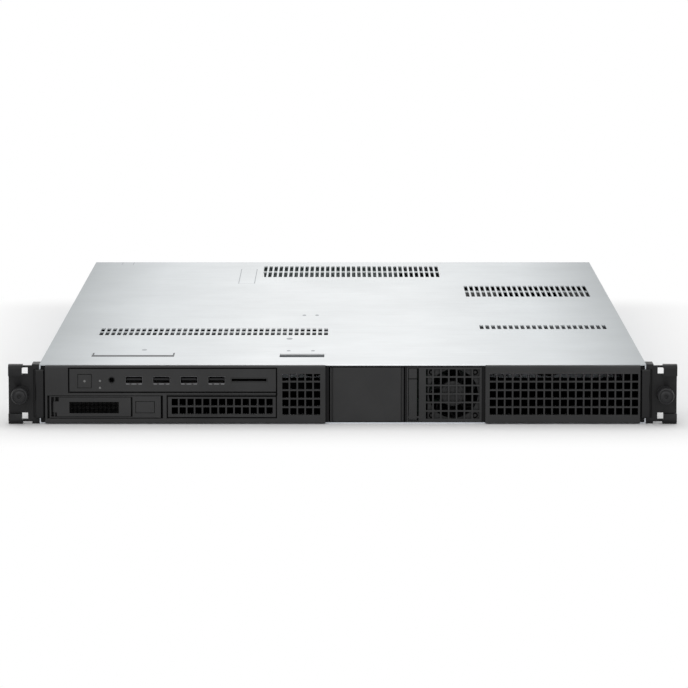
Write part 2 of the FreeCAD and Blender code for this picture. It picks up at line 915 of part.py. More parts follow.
def psu_case():
    wall = supply_sheet
    front = flange + supply_face
    back = flange + supply_depth
    outer = block(supply_left, supply_right, front, back, supply_low, supply_top)
    inner = block(supply_left + wall, supply_right - wall, front, back - wall,
                  supply_low + wall, supply_top - wall)
    slot = block(tongue_left - fit, tongue_right + fit, back - wall, back,
                 tongue_level - fit, tongue_level + pcb + fit)
    return outer.cut(inner).cut(slot)


def strip_window():
    """The slot of the supply's face in which the lever and the release sit."""
    return rectangle(strip_left - strip_gap_left, strip_left + strip_width + strip_gap_right,
                     lever_low - fit, release_high + fit)


def psu_face():
    windows = grid(supply_left + supply_grille_margin, supply_grille_pitch_x, supply_grille_columns,
                   supply_grille_pitch_x - grille_bar,
                   supply_grille_low, supply_grille_pitch_z, supply_grille_rows,
                   supply_grille_pitch_z - grille_bar)
    windows.append(strip_window())
    plate = front_plate(rectangle(supply_left, supply_right, supply_low, supply_top), windows,
                        flange, flange + supply_face)
    pin = rod(lever_pin_radius, strip_gap_left + strip_width + strip_gap_right,
              V(strip_left - strip_gap_left, flange + lever_pin_place, lever_pin_height), X_AXIS)
    return fused([plate, pin])


def psu_handle():
    front = flange - lever_proud
    right = strip_left + strip_width
    lever = block(strip_left, right, front, front + lever_depth, lever_low, lever_high)
    bottom = long_edges_at(lever, lever_low, front - fit, front + lever_depth + fit)
    lever = lever.makeFillet(lever_round, bottom)
    hole = rod(lever_pin_radius + pin_fit, strip_width + 2 * fit,
               V(strip_left - fit, flange + lever_pin_place, lever_pin_height), X_AXIS)
    return lever.cut(hole)


def psu_release():
    """A sliding tab over the lever, with the stem that lifts the supply's catch."""
    front = flange - lever_proud / 2
    back = flange + supply_face
    right = strip_left + strip_width
    middle = (release_high + release_low) / 2
    tab = block(strip_left, right, front, back, release_low, release_high)
    centre = (strip_left + right) / 2
    stem = block(centre - release_stem / 2, centre + release_stem / 2, back, back + release_travel,
                 middle - release_stem, middle + release_stem)
    return fused([tab, stem])


def psu_board():
    inset = supply_sheet + fit
    front = flange + supply_face + fan_depth + sheet
    back = flange + supply_depth - inset
    base = supply_low + supply_sheet
    board = block(supply_left + inset, supply_right - inset, front, back, tongue_level, tongue_level + pcb)
    tongue = block(tongue_left, tongue_right, back, flange + supply_depth + tongue_reach,
                   tongue_level, tongue_level + pcb)
    legs = [
        block(x, x + supply_leg, y, y + supply_leg, base, tongue_level)
        for x in (supply_left + supply_leg, supply_right - 2 * supply_leg)
        for y in (front, back - 2 * supply_leg)
    ]
    parts = []
    for start, behind, width, length, height in supply_parts:
        outline = centred(supply_left + start, flange + supply_depth - behind, width, length)
        parts.append(flat_plate(outline, [], tongue_level + pcb, tongue_level + height))
    return fused([board, tongue] + legs + parts)


def psu_bay_blank():
    left = bay_left + blank_gap
    right = bay_right - blank_gap
    outer = block(left, right, flange, flange + blank_depth, supply_low, supply_top)
    inner = block(left + blank_wall, right - blank_wall, flange + blank_wall, flange + blank_depth,
                  supply_low + blank_wall, supply_top - blank_wall)
    grooves = [
        block(x, x + blank_groove, flange, flange + blank_groove, supply_low, supply_top)
        for x in (left + blank_wall - blank_groove, right - blank_wall)
    ]
    return outer.cut(group([inner] + grooves))


def power_backplane():
    start = flange + backplane_place
    board = block(bay_left, second_bay_right, start, start + pcb, sheet, cage_top - fit)
    sockets = []
    for left in (bay_left, second_bay_left):
        x0 = left + (bay_width - tongue_width) / 2 - 2 * pcb
        x1 = x0 + tongue_width + 2 * 2 * pcb
        body = block(x0, x1, flange + supply_depth + 2 * fit, start,
                     tongue_level - pcb, tongue_level + 2 * pcb)
        groove = block(x0 + pcb, x1 - pcb, flange + supply_depth, start - pcb,
                       tongue_level - fit, tongue_level + pcb + fit)
        sockets.append(body.cut(groove))
    return fused([board] + sockets)


# ---------------------------------------------------------------- fans
def round_bore(radius, x, z, y0, y1):
    return front_plate(polygon(around(radius, round_sides), round_sides, x, z), [], y0, y1)


def fan_frame(size, bore, x, y, z):
    """A square duct with a boss on four arms behind the rotor."""
    end = y + fan_depth
    back = end - fan_back
    body = front_plate(centred(x, z, size, size), [], y, end).cut(round_bore(bore, x, z, y, end))
    boss = front_plate(polygon(fan_hub, round_sides, x, z), [], back - fan_shaft, end)
    reach = around(bore, round_sides) + fit
    arms = [
        front_plate(centred(x, z, 2 * reach, fan_shaft), [], back, end),
        front_plate(centred(x, z, fan_shaft, 2 * reach), [], back, end),
    ]
    shaft_hole = front_plate(polygon(around(fan_shaft + pin_fit, small_sides), small_sides, x, z), [],
                             back - fan_shaft, end)
    return fused([body, boss] + arms).cut(shaft_hole)


def fan_rotor(bore, x, y, z):
    """A hub with pitched blades, whose tips clear the bore, on a shaft that runs in the boss."""
    length = fan_depth - fan_back - fan_shaft - 2 * fit
    pitch = math.radians(fan_blade_pitch)
    sweep = (fan_blade_chord * math.sin(pitch) + fan_blade_thickness * math.cos(pitch)) / 2
    tip = math.sqrt((bore - fan_tip_gap) ** 2 - sweep ** 2)
    start = V(0, 0, 0)
    hub = front_plate(polygon(fan_hub, (1 + 2) * fan_blades, 0, 0), [], 0, length)
    shaft = front_plate(polygon(fan_shaft, small_sides, 0, 0), [], 0, length + fan_shaft + fan_back)
    blades = []
    for i in range(fan_blades):
        blade = block(fan_hub / 2, tip, (length - fan_blade_chord) / 2, (length + fan_blade_chord) / 2,
                      -fan_blade_thickness / 2, fan_blade_thickness / 2)
        blade.rotate(V(0, length / 2, 0), X_AXIS, fan_blade_pitch)
        blade.rotate(start, Y_AXIS, 360.0 * i / fan_blades)
        blades.append(blade)
    rotor = fused([hub, shaft] + blades)
    rotor.translate(V(x, y + fit, z))
    return rotor


def fan_wall():
    edge = 2 * fit
    half = hook_edge - sheet - edge
    y0 = flange + fan_wall_place
    y1 = flange + fan_start
    harness = rectangle(bay_left, second_bay_right, sheet + edge, cage_top - sheet)
    plate = front_plate(rectangle(-half, half, sheet, latch_under - fit), [harness], y0, y1)
    return plate.cut(group([round_bore(fan_bore, x, fan_centre, y0, y1) for x in fan_positions]))


# ---------------------------------------------------------------- drive bay
def drive_cage():
    wall = thin_sheet
    x0 = carrier_left - carrier_gap
    x1 = carrier_right + carrier_gap
    low = carrier_low - carrier_gap
    high = carrier_high + carrier_gap
    profile = [
        (x0 - wall, sheet), (x0, sheet), (x0, low - wall), (x1, low - wall), (x1, sheet), (x1 + wall, sheet),
        (x1 + wall, high + wall), (x0 - wall, high + wall),
    ]
    return front_plate(profile, [rectangle(x0, x1, low, high)], flange + sheet, flange + cage_depth)


def drive_backplane():
    start = flange + cage_depth
    margin = carrier_gap + thin_sheet
    plug_low = carrier_low + plug_rise
    board = block(carrier_left - margin, carrier_right + margin, start, start + pcb,
                  sheet, carrier_high + carrier_gap + thin_sheet)
    plug = block(carrier_middle - drive_width / 4, carrier_middle + drive_width / 4,
                 flange + drive_place + drive_length + fit, start, plug_low, plug_low + plug_height)
    return fused([board, plug])


def drive_carrier():
    front = flange - carrier_proud
    back = flange + bulkhead_place
    seat = flange + drive_place
    low_in = carrier_low + carrier_shell
    high_in = carrier_high - carrier_shell
    head = block(carrier_left, carrier_right, front, seat, carrier_low, carrier_high)
    hollow = block(carrier_left + carrier_end, fixed_start, front, back, low_in, high_in)
    right = carrier_button_left + carrier_button_width
    button_hole = block(carrier_button_left - fit, right + fit, front, seat,
                        carrier_button_low - fit, carrier_button_low + carrier_button_height + fit)
    rails = [
        block(x, x + carrier_rail, seat, seat + drive_length, carrier_low, carrier_high)
        for x in (carrier_left, carrier_right - carrier_rail)
    ]
    reach = fit + handle_notch + handle_pin_seat
    pins = [
        rod(handle_pin, reach, V(handle_pivot_x, flange + handle_pivot_place, z), Z_AXIS)
        for z in (low_in, high_in - reach)
    ]
    return fused([head.cut(group([hollow, button_hole]))] + rails + pins)


def solid_state_drive():
    start = flange + drive_place
    left = carrier_middle - drive_width / 2
    low = carrier_low + (carrier_height - drive_height) / 2
    return block(left, left + drive_width, start, start + drive_length, low, low + drive_height)


def carrier_handle():
    """The swinging face of the carrier, notched where its pivot pins enter."""
    front = flange - carrier_proud
    cell = handle_grille_pitch - handle_bar
    notch_low = handle_low + handle_notch
    notch_high = handle_high - handle_notch
    outline = [
        (handle_left, notch_low), (handle_left + handle_notch_low, notch_low),
        (handle_left + handle_notch_low, handle_low), (handle_end, handle_low), (handle_end, handle_high),
        (handle_left + handle_notch_top, handle_high), (handle_left + handle_notch_top, notch_high),
        (handle_left, notch_high),
    ]
    windows = grid(handle_grille_x, handle_grille_pitch, handle_grille_columns, cell,
                   handle_grille_low, handle_grille_pitch, handle_grille_rows, cell)
    plate = front_plate(outline, windows, front, front + handle_thick)
    outer = [e for e in plate.Edges
             if e.BoundBox.XMax < handle_left + fit and e.BoundBox.ZLength > handle_thick]
    plate = plate.makeFillet(handle_round, outer)
    depth = handle_pin_seat + fit
    holes = [
        rod(handle_pin + pin_fit, depth, V(handle_pivot_x, flange + handle_pivot_place, z), Z_AXIS)
        for z in (notch_low, notch_high - depth)
    ]
    return plate.cut(group(holes))


def carrier_release():
    front = flange - carrier_proud - carrier_button_proud
    return block(carrier_button_left, carrier_button_left + carrier_button_width,
                 front, flange + bulkhead_place,
                 carrier_button_low, carrier_button_low + carrier_button_height)


# ---------------------------------------------------------------- top cover
def vent_columns(x):
    """How many slots fit between x and the margin at the cover's right side."""
    return int((half_body - vent_margin - x) / vent_pitch)


def vent_field(x, columns, place, rows, length):
    return grid(x, vent_pitch, columns, vent_slot, flange + place, length + vent_web, rows, length)


def cover_vents():
    side_x = side_vent_start - half_body
    graphics_x = graphics_left - graphics_vent_back
    return (
        vent_field(duct_vent_start - half_body, duct_vent_columns, fan_wall_place - duct_vent_ahead,
                   duct_vent_rows, duct_vent_slot)
        + vent_field(rear_vent_start - half_body, rear_vent_columns, body_depth - rear_vent_ahead,
                     rear_vent_rows, rear_vent_slot)
        + vent_field(graphics_x, vent_columns(graphics_x), graphics_place - graphics_vent_ahead,
                     graphics_vent_rows, graphics_vent_slot)
        + vent_field(side_x, vent_columns(side_x), fan_wall_place - side_vent_ahead, 1, side_vent_slot)
    )


def top_cover():
    latch_left = latch_start - half_body
    windows = cover_vents()
    windows.append(rectangle(latch_left, latch_left + latch_width,
                             flange + latch_place, flange + latch_place + latch_length))
    plate = flat_plate(rectangle(-half_body, half_body, flange, rear), windows, cover_under, body_height)
    plate = plate.makeFillet(cover_round, long_edges_at(plate, body_height, flange - fit, flange + fit))
    y0 = flange + thumb_place
    thumb_left = thumb_start - half_body
    slope = [(y0, body_height), (y0, body_height - thumb_depth), (y0 + thumb_length, body_height)]
    thumb = side_profile(slope, thumb_left, thumb_left + thumb_width)
    hooks = []
    for side in (-1, 1):
        for i in range(hook_count):
            hooks += cover_hook(side, flange + hook_first + hook_pitch * i)
    return fused([plate.cut(thumb)] + hooks)


def cover_hook(side, y):
    """A leg under the cover, with a foot that slides under the side wall's lip."""
    leg = [side * (hook_edge - sheet), side * hook_edge]
    foot = [side * (hook_edge - sheet), side * (hook_edge + hook_reach)]
    return [
        block(min(leg), max(leg), y, y + hook_length, hook_bottom, cover_under),
        block(min(foot), max(foot), y, y + hook_length, hook_bottom, hook_bottom + sheet),
    ]


def cover_latch():
    side = fit / 2
    x0 = latch_start - half_body + side
    x1 = x0 + latch_width - 2 * side
    y0 = flange + latch_place + side
    y1 = y0 + latch_length - latch_travel - 2 * side
    paddle = block(x0, x1, y0, y1, latch_under, body_height - fit)
    skirt = block(x0 - latch_flange, x1 + latch_flange, y0 - latch_flange, y1 + latch_flange,
                  latch_under, cover_under - side)
    return fused([paddle, skirt])


# ---------------------------------------------------------------- system board
def system_board():
    board = block(board_left, board_right, flange + board_place, flange + board_end, board_level, board_top)
    spots = [(start, board_place + place, width, length, height)
             for start, place, width, length, height in front_parts]
    spots += [(start, board_end - place, width, length, height)
              for start, place, width, length, height in rear_parts]
    parts = []
    for start, place, width, length, height in spots:
        outline = centred(start - half_body, flange + place, width, length)
        parts.append(flat_plate(outline, [], board_top, board_top + height))
    return fused([board] + parts)


def spread(low, high, count):
    return [low + (high - low) * i / (count - 1) for i in range(count)]


def board_standoffs():
    xs = spread(board_left + standoff_margin, board_right - standoff_margin, standoff_rows)
    ys = spread(flange + board_place + standoff_margin, flange + board_end - standoff_margin, standoff_rows)
    return group([
        flat_plate(polygon(standoff_radius, hexagon, x, y), [], sheet, board_level)
        for x in xs for y in ys
    ])


def cpu():
    outline = centred(cpu_x, flange + cpu_place, cpu_width, cpu_length)
    return flat_plate(outline, [], board_top, board_top + cpu_height)


def cpu_heatsink():
    """A comb of fins over a flat base, as one profile pushed along the air's way."""
    low = board_top + cpu_height
    left = cpu_x - sink_width / 2
    pitch = (sink_width - sink_fin) / (sink_fins - 1)
    points = [(left, low), (left + sink_width, low)]
    for i in range(sink_fins - 1, -1, -1):
        x = left + pitch * i
        points += [(x + sink_fin, low + sink_height), (x, low + sink_height)]
        if i:
            points += [(x, low + sink_base), (x - pitch + sink_fin, low + sink_base)]
    y = flange + cpu_place
    return front_plate(points, [], y - sink_length / 2, y + sink_length / 2)


def memory_rows():
    offsets = [memory_offset + memory_pitch * i for i in range(memory_count)]
    return [cpu_x + side * offset for side in (-1, 1) for offset in offsets]


def dimm_slots():
    y = flange + cpu_place
    top = board_top + socket_height
    sockets = []
    for x in memory_rows():
        body = flat_plate(centred(x, y, socket_width, socket_length), [], board_top, top)
        groove = flat_plate(centred(x, y, memory_thick, memory_length), [], top - socket_groove, top)
        sockets.append(body.cut(groove))
    return group(sockets)


def memory_modules():
    low = board_top + socket_height - socket_groove
    return group([
        flat_plate(centred(x, flange + cpu_place, memory_thick, memory_length), [], low, low + memory_height)
        for x in memory_rows()
    ])


def coin_cell():
    outline = polygon(cell_radius, round_sides, cell_start - half_body, flange + board_end - cell_back)
    return flat_plate(outline, [], board_top, board_top + cell_height)


def rear_io_ports():
    back = rear + port_proud
    front = back - port_length
    shells = []
    for x, width, height in port_spots():
        outer = block(x - width / 2, x + width / 2, front, back, board_top, board_top + height)
        inner = block(x - width / 2 + port_wall, x + width / 2 - port_wall, front + port_wall, back,
                      board_top + port_wall, board_top + height - port_wall)
        shells.append(outer.cut(inner))
    return group(shells)


# ---------------------------------------------------------------- power inlets and cables
def ac_inlets():
    back = rear + inlet_proud
    start = back - inlet_cavity_depth
    inlets = []
    for x in inlet_places():
        rim = front_plate(centred(x, rack_middle, inlet_flange_width, inlet_flange_height), [], rear, back)
        body = front_plate(centred(x, rack_middle, inlet_body_width, inlet_body_height), [],
                           back - inlet_depth, rear)
        cavity = front_plate(centred(x, rack_middle, inlet_cavity_width, inlet_cavity_height), [],
                             start, back)
        pins = [
            front_plate(centred(x, z, inlet_pin_width, inlet_pin_height), [], start, start + inlet_pin_length)
            for z in (rack_middle - inlet_pin_spacing, rack_middle, rack_middle + inlet_pin_spacing)
        ]
        inlets.append(fused([fused([rim, body]).cut(cavity)] + pins))
    return group(inlets)


def power_cables():
    start = flange + backplane_place + pcb
    end = rear + inlet_proud - inlet_depth
    return group([
        front_plate(polygon(cable_radius, small_sides, x, rack_middle + cable_pitch * k), [], start, end)
        for x in inlet_places() for k in (-1, 0, 1)
    ])


# ---------------------------------------------------------------- expansion cards
def expansion_card():
    end = rear - 2 * sheet - fit
    start = flange + card_place
    top = card_level + pcb
    board = block(card_left, card_right - pcb, start, end, card_level, top)
    middle = (card_left + card_right) / 2
    sink = flat_plate(centred(middle, (start + end) / 2, card_sink_width, card_sink_length), [],
                      top, card_level + bracket_rise - sheet)
    return fused([board, sink])


def riser_cards():
    edge = graphics_left - pcb
    first = block(card_right - 2 * pcb, card_right - pcb, flange + card_place, flange + board_end - sheet,
                  board_top, card_level)
    second = block(edge - pcb, edge, flange + graphics_place, flange + graphics_place + memory_length,
                   sheet, shroud_high - sheet)
    return group([first, second])


def graphics_board():
    return block(graphics_left - pcb, graphics_right, flange + graphics_place, graphics_end,
                 graphics_level, graphics_level + pcb)


def graphics_shroud():
    low = graphics_level + pcb
    wall = shroud_wall
    start = flange + graphics_place
    outer = block(graphics_left, graphics_right, start, graphics_end, low, shroud_high)
    inner = block(graphics_left + wall, graphics_right - wall, start + wall, graphics_end,
                  low, shroud_high - wall)
    rim = polygon(blower_radius - blower_clear, round_sides, blower_x, flange + blower_place)
    intake = flat_plate(rim, [], shroud_high - wall, shroud_high)
    return outer.cut(inner).cut(intake)


def blower_rotor():
    """A drum of straight blades on a disc, turning on a stub shaft over the board."""
    low = graphics_level + pcb
    start = low + blower_clear
    top = shroud_high - shroud_wall - 2 * blower_clear
    y = flange + blower_place
    disc = flat_plate(polygon(blower_radius, blower_blades, blower_x, y), [], start, start + blower_clear)
    hub = flat_plate(polygon(blower_radius * blower_hub_share, blower_blades, blower_x, y), [], start, top)
    shaft = flat_plate(polygon(blower_shaft, small_sides, blower_x, y), [], low, start)
    half = fan_blade_thickness / 2
    inner = blower_x + blower_radius * blower_ring_share
    outer = blower_x + blower_radius - fit
    blades = []
    for i in range(blower_blades):
        blade = block(inner, outer, y - half, y + half, start, top)
        blade.rotate(V(blower_x, y, 0), Z_AXIS, 360.0 * i / blower_blades)
        blades.append(blade)
    return fused([disc, hub, shaft] + blades)


def slot_brackets():
    y0 = rear - 2 * sheet
    y1 = rear - sheet
    card = block(card_left, card_right, y0, y1,
                 card_level - bracket_drop - bracket_lap, card_level + bracket_rise + bracket_lap)
    room = graphics_right - graphics_left - 2 * 2 * bracket_edge
    slots = grid(graphics_left + 2 * bracket_edge, 2 * vent_pitch, int(room / (2 * vent_pitch)), vent_pitch,
                 shroud_opening_low + bracket_rise, bracket_rise, 1, bracket_rise)
    outline = rectangle(graphics_left, graphics_right, shroud_opening_low - bracket_lap, shroud_high)
    return group([card, front_plate(outline, slots, y0, y1)])


# ---------------------------------------------------------------- build
os.makedirs("parts", exist_ok=True)

right_ear_shape = right_ear()
right_screw_shape = right_thumbscrew()
supply_fan = (supply_fan_bore, supply_fan_x, flange + supply_face, supply_fan_centre)

save("chassis_tray", chassis_tray())
save("front_frame", front_frame())
save("rear_panel", rear_panel())
save("rail_studs", rail_studs())
save("right_ear", right_ear_shape)
save("left_ear", mirrored(right_ear_shape))
save("right_thumbscrew", right_screw_shape)
save("left_thumbscrew", mirrored(right_screw_shape))
save("ear_screws", ear_screws())
save("left_bezel", left_bezel())
save("right_bezel", right_bezel())
save("io_panel", io_panel())
save("usb_ports", usb_ports())
save("headset_jack", headset_jack())
save("card_reader", card_reader())
save("io_board", io_board())
save("light_pipes", light_pipes())
save("power_button", power_button())
save("psu_cage", psu_cage())
save("psu_case", psu_case())
save("psu_face", psu_face())
save("psu_handle", psu_handle())
save("psu_release", psu_release())
save("psu_board", psu_board())
save("psu_bay_blank", psu_bay_blank())
save("power_backplane", power_backplane())
save("fan_wall", fan_wall())
save("psu_fan_frame", fan_frame(supply_fan_size, *supply_fan))
save("psu_fan_rotor", fan_rotor(*supply_fan))
save("fan_frames", group([
    fan_frame(fan_size, fan_bore, x, flange + fan_start, fan_centre) for x in fan_positions
]))
for number, x in enumerate(fan_positions, 1):
    save("fan_rotor_%d" % number, fan_rotor(fan_bore, x, flange + fan_start, fan_centre))
save("drive_cage", drive_cage())
save("drive_backplane", drive_backplane())
save("drive_carrier", drive_carrier())
save("solid_state_drive", solid_state_drive())
save("carrier_handle", carrier_handle())
save("carrier_release", carrier_release())
save("top_cover", top_cover())
save("cover_latch", cover_latch())
save("system_board", system_board())
save("board_standoffs", board_standoffs())
save("cpu", cpu())
save("cpu_heatsink", cpu_heatsink())
save("dimm_slots", dimm_slots())
save("memory_modules", memory_modules())
save("coin_cell", coin_cell())
save("rear_io_ports", rear_io_ports())
save("ac_inlets", ac_inlets())
save("power_cables", power_cables())
save("expansion_card", expansion_card())
save("riser_cards", riser_cards())
save("graphics_board", graphics_board())
save("graphics_shroud", graphics_shroud())
save("blower_rotor", blower_rotor())
save("slot_brackets", slot_brackets())
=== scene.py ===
import json
import math
import bmesh
import bpy
from mathutils import Matrix, Vector

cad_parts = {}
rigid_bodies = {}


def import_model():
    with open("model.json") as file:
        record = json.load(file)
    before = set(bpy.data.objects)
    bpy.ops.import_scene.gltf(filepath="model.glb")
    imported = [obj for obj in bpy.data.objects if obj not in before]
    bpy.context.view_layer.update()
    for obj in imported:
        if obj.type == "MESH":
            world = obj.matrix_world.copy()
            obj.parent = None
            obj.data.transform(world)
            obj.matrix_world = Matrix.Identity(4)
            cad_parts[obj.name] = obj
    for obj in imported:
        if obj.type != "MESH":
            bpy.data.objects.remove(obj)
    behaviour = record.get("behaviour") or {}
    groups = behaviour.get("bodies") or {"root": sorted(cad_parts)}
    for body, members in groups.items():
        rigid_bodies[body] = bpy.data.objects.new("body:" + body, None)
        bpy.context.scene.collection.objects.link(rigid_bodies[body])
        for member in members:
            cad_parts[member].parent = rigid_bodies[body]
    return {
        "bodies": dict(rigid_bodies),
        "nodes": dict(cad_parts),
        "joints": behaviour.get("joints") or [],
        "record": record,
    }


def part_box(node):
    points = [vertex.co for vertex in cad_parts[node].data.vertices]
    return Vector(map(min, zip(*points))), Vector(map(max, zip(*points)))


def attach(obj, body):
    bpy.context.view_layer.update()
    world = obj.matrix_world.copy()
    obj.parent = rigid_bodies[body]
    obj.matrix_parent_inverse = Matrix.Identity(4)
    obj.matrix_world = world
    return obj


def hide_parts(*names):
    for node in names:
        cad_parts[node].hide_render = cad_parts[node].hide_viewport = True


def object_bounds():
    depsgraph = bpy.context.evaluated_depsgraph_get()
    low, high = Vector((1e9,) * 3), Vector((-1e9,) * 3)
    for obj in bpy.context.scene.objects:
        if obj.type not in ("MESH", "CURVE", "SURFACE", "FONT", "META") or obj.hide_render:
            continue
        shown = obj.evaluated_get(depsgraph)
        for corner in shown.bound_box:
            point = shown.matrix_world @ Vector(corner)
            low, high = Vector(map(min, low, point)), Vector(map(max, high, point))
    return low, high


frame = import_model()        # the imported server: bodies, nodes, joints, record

cadLow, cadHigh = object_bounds()
nodes = frame["nodes"]
mm = 0.001
print("stage: frame loaded,", len(nodes), "nodes")


# ---- small tools for the shader trees
def newFinish(name):
    finish = bpy.data.materials.new(name)
    finish.use_nodes = True
    tree = finish.node_tree
    return finish, tree, tree.nodes["Principled BSDF"]


def compute(tree, kind, first, second=0.0):
    node = tree.nodes.new("ShaderNodeMath")
    node.operation = kind
    for socket, value in zip(node.inputs, (first, second)):
        if hasattr(value, "is_linked"):
            tree.links.new(value, socket)
        else:
            socket.default_value = value
    return node.outputs[0]


def objectAxes(tree):
    # the X, Y and Z of a spot on the piece, in metres
    place = tree.nodes.new("ShaderNodeTexCoord")
    split = tree.nodes.new("ShaderNodeSeparateXYZ")
    tree.links.new(place.outputs["Object"], split.inputs[0])
    return split.outputs


def farFrom(tree, value, spot):
    return compute(tree, "ABSOLUTE", compute(tree, "SUBTRACT", value, spot))


def spread(tree, scale, stretch=(1, 1, 1), detail=3.0, roughness=0.5):
    place = tree.nodes.new("ShaderNodeTexCoord")
    mapping = tree.nodes.new("ShaderNodeMapping")
    mapping.inputs["Scale"].default_value = stretch
    noise = tree.nodes.new("ShaderNodeTexNoise")
    noise.inputs["Scale"].default_value = scale
    noise.inputs["Detail"].default_value = detail
    noise.inputs["Roughness"].default_value = roughness
    tree.links.new(place.outputs["Object"], mapping.inputs["Vector"])
    tree.links.new(mapping.outputs["Vector"], noise.inputs["Vector"])
    return noise.outputs["Fac"]


def ramp(tree, value, stops):
    node = tree.nodes.new("ShaderNodeValToRGB")
    line = node.color_ramp
    for end, (position, tint) in zip(line.elements, stops[:2]):
        end.position = position
        end.color = (*tint, 1)
    for position, tint in stops[2:]:
        line.elements.new(position).color = (*tint, 1)
    tree.links.new(value, node.inputs["Fac"])
    return node.outputs["Color"]


def rescale(tree, value, low, high):
    node = tree.nodes.new("ShaderNodeMapRange")
    node.inputs["To Min"].default_value = low
    node.inputs["To Max"].default_value = high
    tree.links.new(value, node.inputs["Value"])
    return node.outputs["Result"]


def blendColors(tree, kind, factor, first, second):
    node = tree.nodes.new("ShaderNodeMix")
    node.data_type = "RGBA"
    node.blend_type = kind
    for socket, value in (("Factor_Float", factor), ("A_Color", first), ("B_Color", second)):
        target = next(s for s in node.inputs if s.identifier == socket)
        if hasattr(value, "is_linked"):
            tree.links.new(value, target)
        elif isinstance(value, (int, float)):
            target.default_value = value
        else:
            target.default_value = (*value, 1)
    return next(s for s in node.outputs if s.identifier == "Result_Color")


def relief(tree, shader, height, strength, depth):
    bump = tree.nodes.new("ShaderNodeBump")
    bump.inputs["Strength"].default_value = strength
    bump.inputs["Distance"].default_value = depth
    tree.links.new(height, bump.inputs["Height"])
    tree.links.new(bump.outputs["Normal"], shader.inputs["Normal"])


def scaled(color, factor):
    return tuple(min(1, c * factor) for c in color)


def paintFrom(tree, shader, tint, rough):
    tree.links.new(tint, shader.inputs["Base Color"])
    tree.links.new(rough, shader.inputs["Roughness"])


# ---- finishes
def mouldedPlastic(name, look):
    finish, tree, shader = newFinish(name)
    cloud = spread(tree, look["cloud"], detail=4)
    grain = spread(tree, look["grain"], detail=2, roughness=0.6)
    tint = ramp(tree, cloud, ((0.3, scaled(look["tint"], 0.82)), (0.7, scaled(look["tint"], 1.15))))
    paintFrom(tree, shader, tint, rescale(tree, grain, look["rough"] - 0.07, look["rough"] + 0.07))
    shader.inputs["Specular IOR Level"].default_value = look["shine"]
    relief(tree, shader, grain, look["relief"], 0.00005)
    return finish


def rolledSheet(name, look):
    # galvanised sheet: soft spangle clouds, fine rolling streaks along X
    finish, tree, shader = newFinish(name)
    cloud = spread(tree, look["cloud"], detail=5, roughness=0.6)
    streak = spread(tree, look["streak"], stretch=(0.02, 1, 1), detail=4, roughness=0.65)
    tint = ramp(tree, cloud, ((0.3, scaled(look["tint"], 0.93)), (0.7, scaled(look["tint"], 1.03))))
    line = ramp(tree, streak, ((0.3, (0.9, 0.9, 0.9)), (0.7, (1, 1, 1))))
    tint = blendColors(tree, "MULTIPLY", 1.0, tint, line)
    paintFrom(tree, shader, tint, rescale(tree, streak, look["rough"] - 0.08, look["rough"] + 0.1))
    shader.inputs["Metallic"].default_value = look["metal"]
    relief(tree, shader, streak, look["relief"], 0.00003)
    return finish


def coverSheet(name, look):
    # the same sheet with painted shade darkening its sides, painted shade in the marks pressed and stamped
    # into the wide cover, and painted shadow along the finger grip
    finish = rolledSheet(name, look)
    tree = finish.node_tree
    shader = tree.nodes["Principled BSDF"]
    tint = shader.inputs["Base Color"].links[0].from_socket
    axes = objectAxes(tree)
    # painted shade: the colour darkens with distance from the middle toward both sides
    share = tree.nodes.new("ShaderNodeMapRange")
    share.inputs["From Max"].default_value = look["halfWidth"]
    tree.links.new(compute(tree, "ABSOLUTE", axes["X"]), share.inputs["Value"])
    stops = ((0.25, (1, 1, 1)), (1.0, look["sideShadeTint"]), (0.7, look["midShadeTint"]))
    tint = blendColors(tree, "MULTIPLY", 1.0, tint, ramp(tree, share.outputs["Result"], stops))
    # painted shade: the pressed dimples and stamped outlines are darkened where their hollows lie in shade
    dentShade = 0.0
    for x, y, width, length in look["dimples"]:
        across = compute(tree, "MULTIPLY", compute(tree, "SUBTRACT", axes["X"], x * mm), 2 / (width * mm))
        along = compute(tree, "MULTIPLY", compute(tree, "SUBTRACT", axes["Y"], y * mm), 2 / (length * mm))
        reach = compute(tree, "ADD", compute(tree, "POWER", across, 2.0), compute(tree, "POWER", along, 2.0))
        dentShade = compute(tree, "MAXIMUM", dentShade, compute(tree, "LESS_THAN", reach, 1.0))
    for x, y, width, length, line in look["outlines"]:
        across = compute(tree, "SUBTRACT", farFrom(tree, axes["X"], x * mm), width * mm / 2)
        along = compute(tree, "SUBTRACT", farFrom(tree, axes["Y"], y * mm), length * mm / 2)
        beyond = compute(tree, "ABSOLUTE", compute(tree, "MAXIMUM", across, along))
        dentShade = compute(tree, "MAXIMUM", dentShade, compute(tree, "LESS_THAN", beyond, line * mm))
    tint = blendColors(tree, "MIX", dentShade, tint, look["dentShadeTint"])
    # painted shadow: dark strips where the finger grip's recess lies in shade
    gripShadows = 0.0
    for x, y, width, length in look["gripShadows"]:
        across = compute(tree, "LESS_THAN", farFrom(tree, axes["X"], x * mm), width * mm / 2)
        along = compute(tree, "LESS_THAN", farFrom(tree, axes["Y"], y * mm), length * mm / 2)
        gripShadows = compute(tree, "MAXIMUM", gripShadows, compute(tree, "MULTIPLY", across, along))
    tree.links.new(blendColors(tree, "MIX", gripShadows, tint, look["gripShadowTint"]), shader.inputs["Base Color"])
    return finish


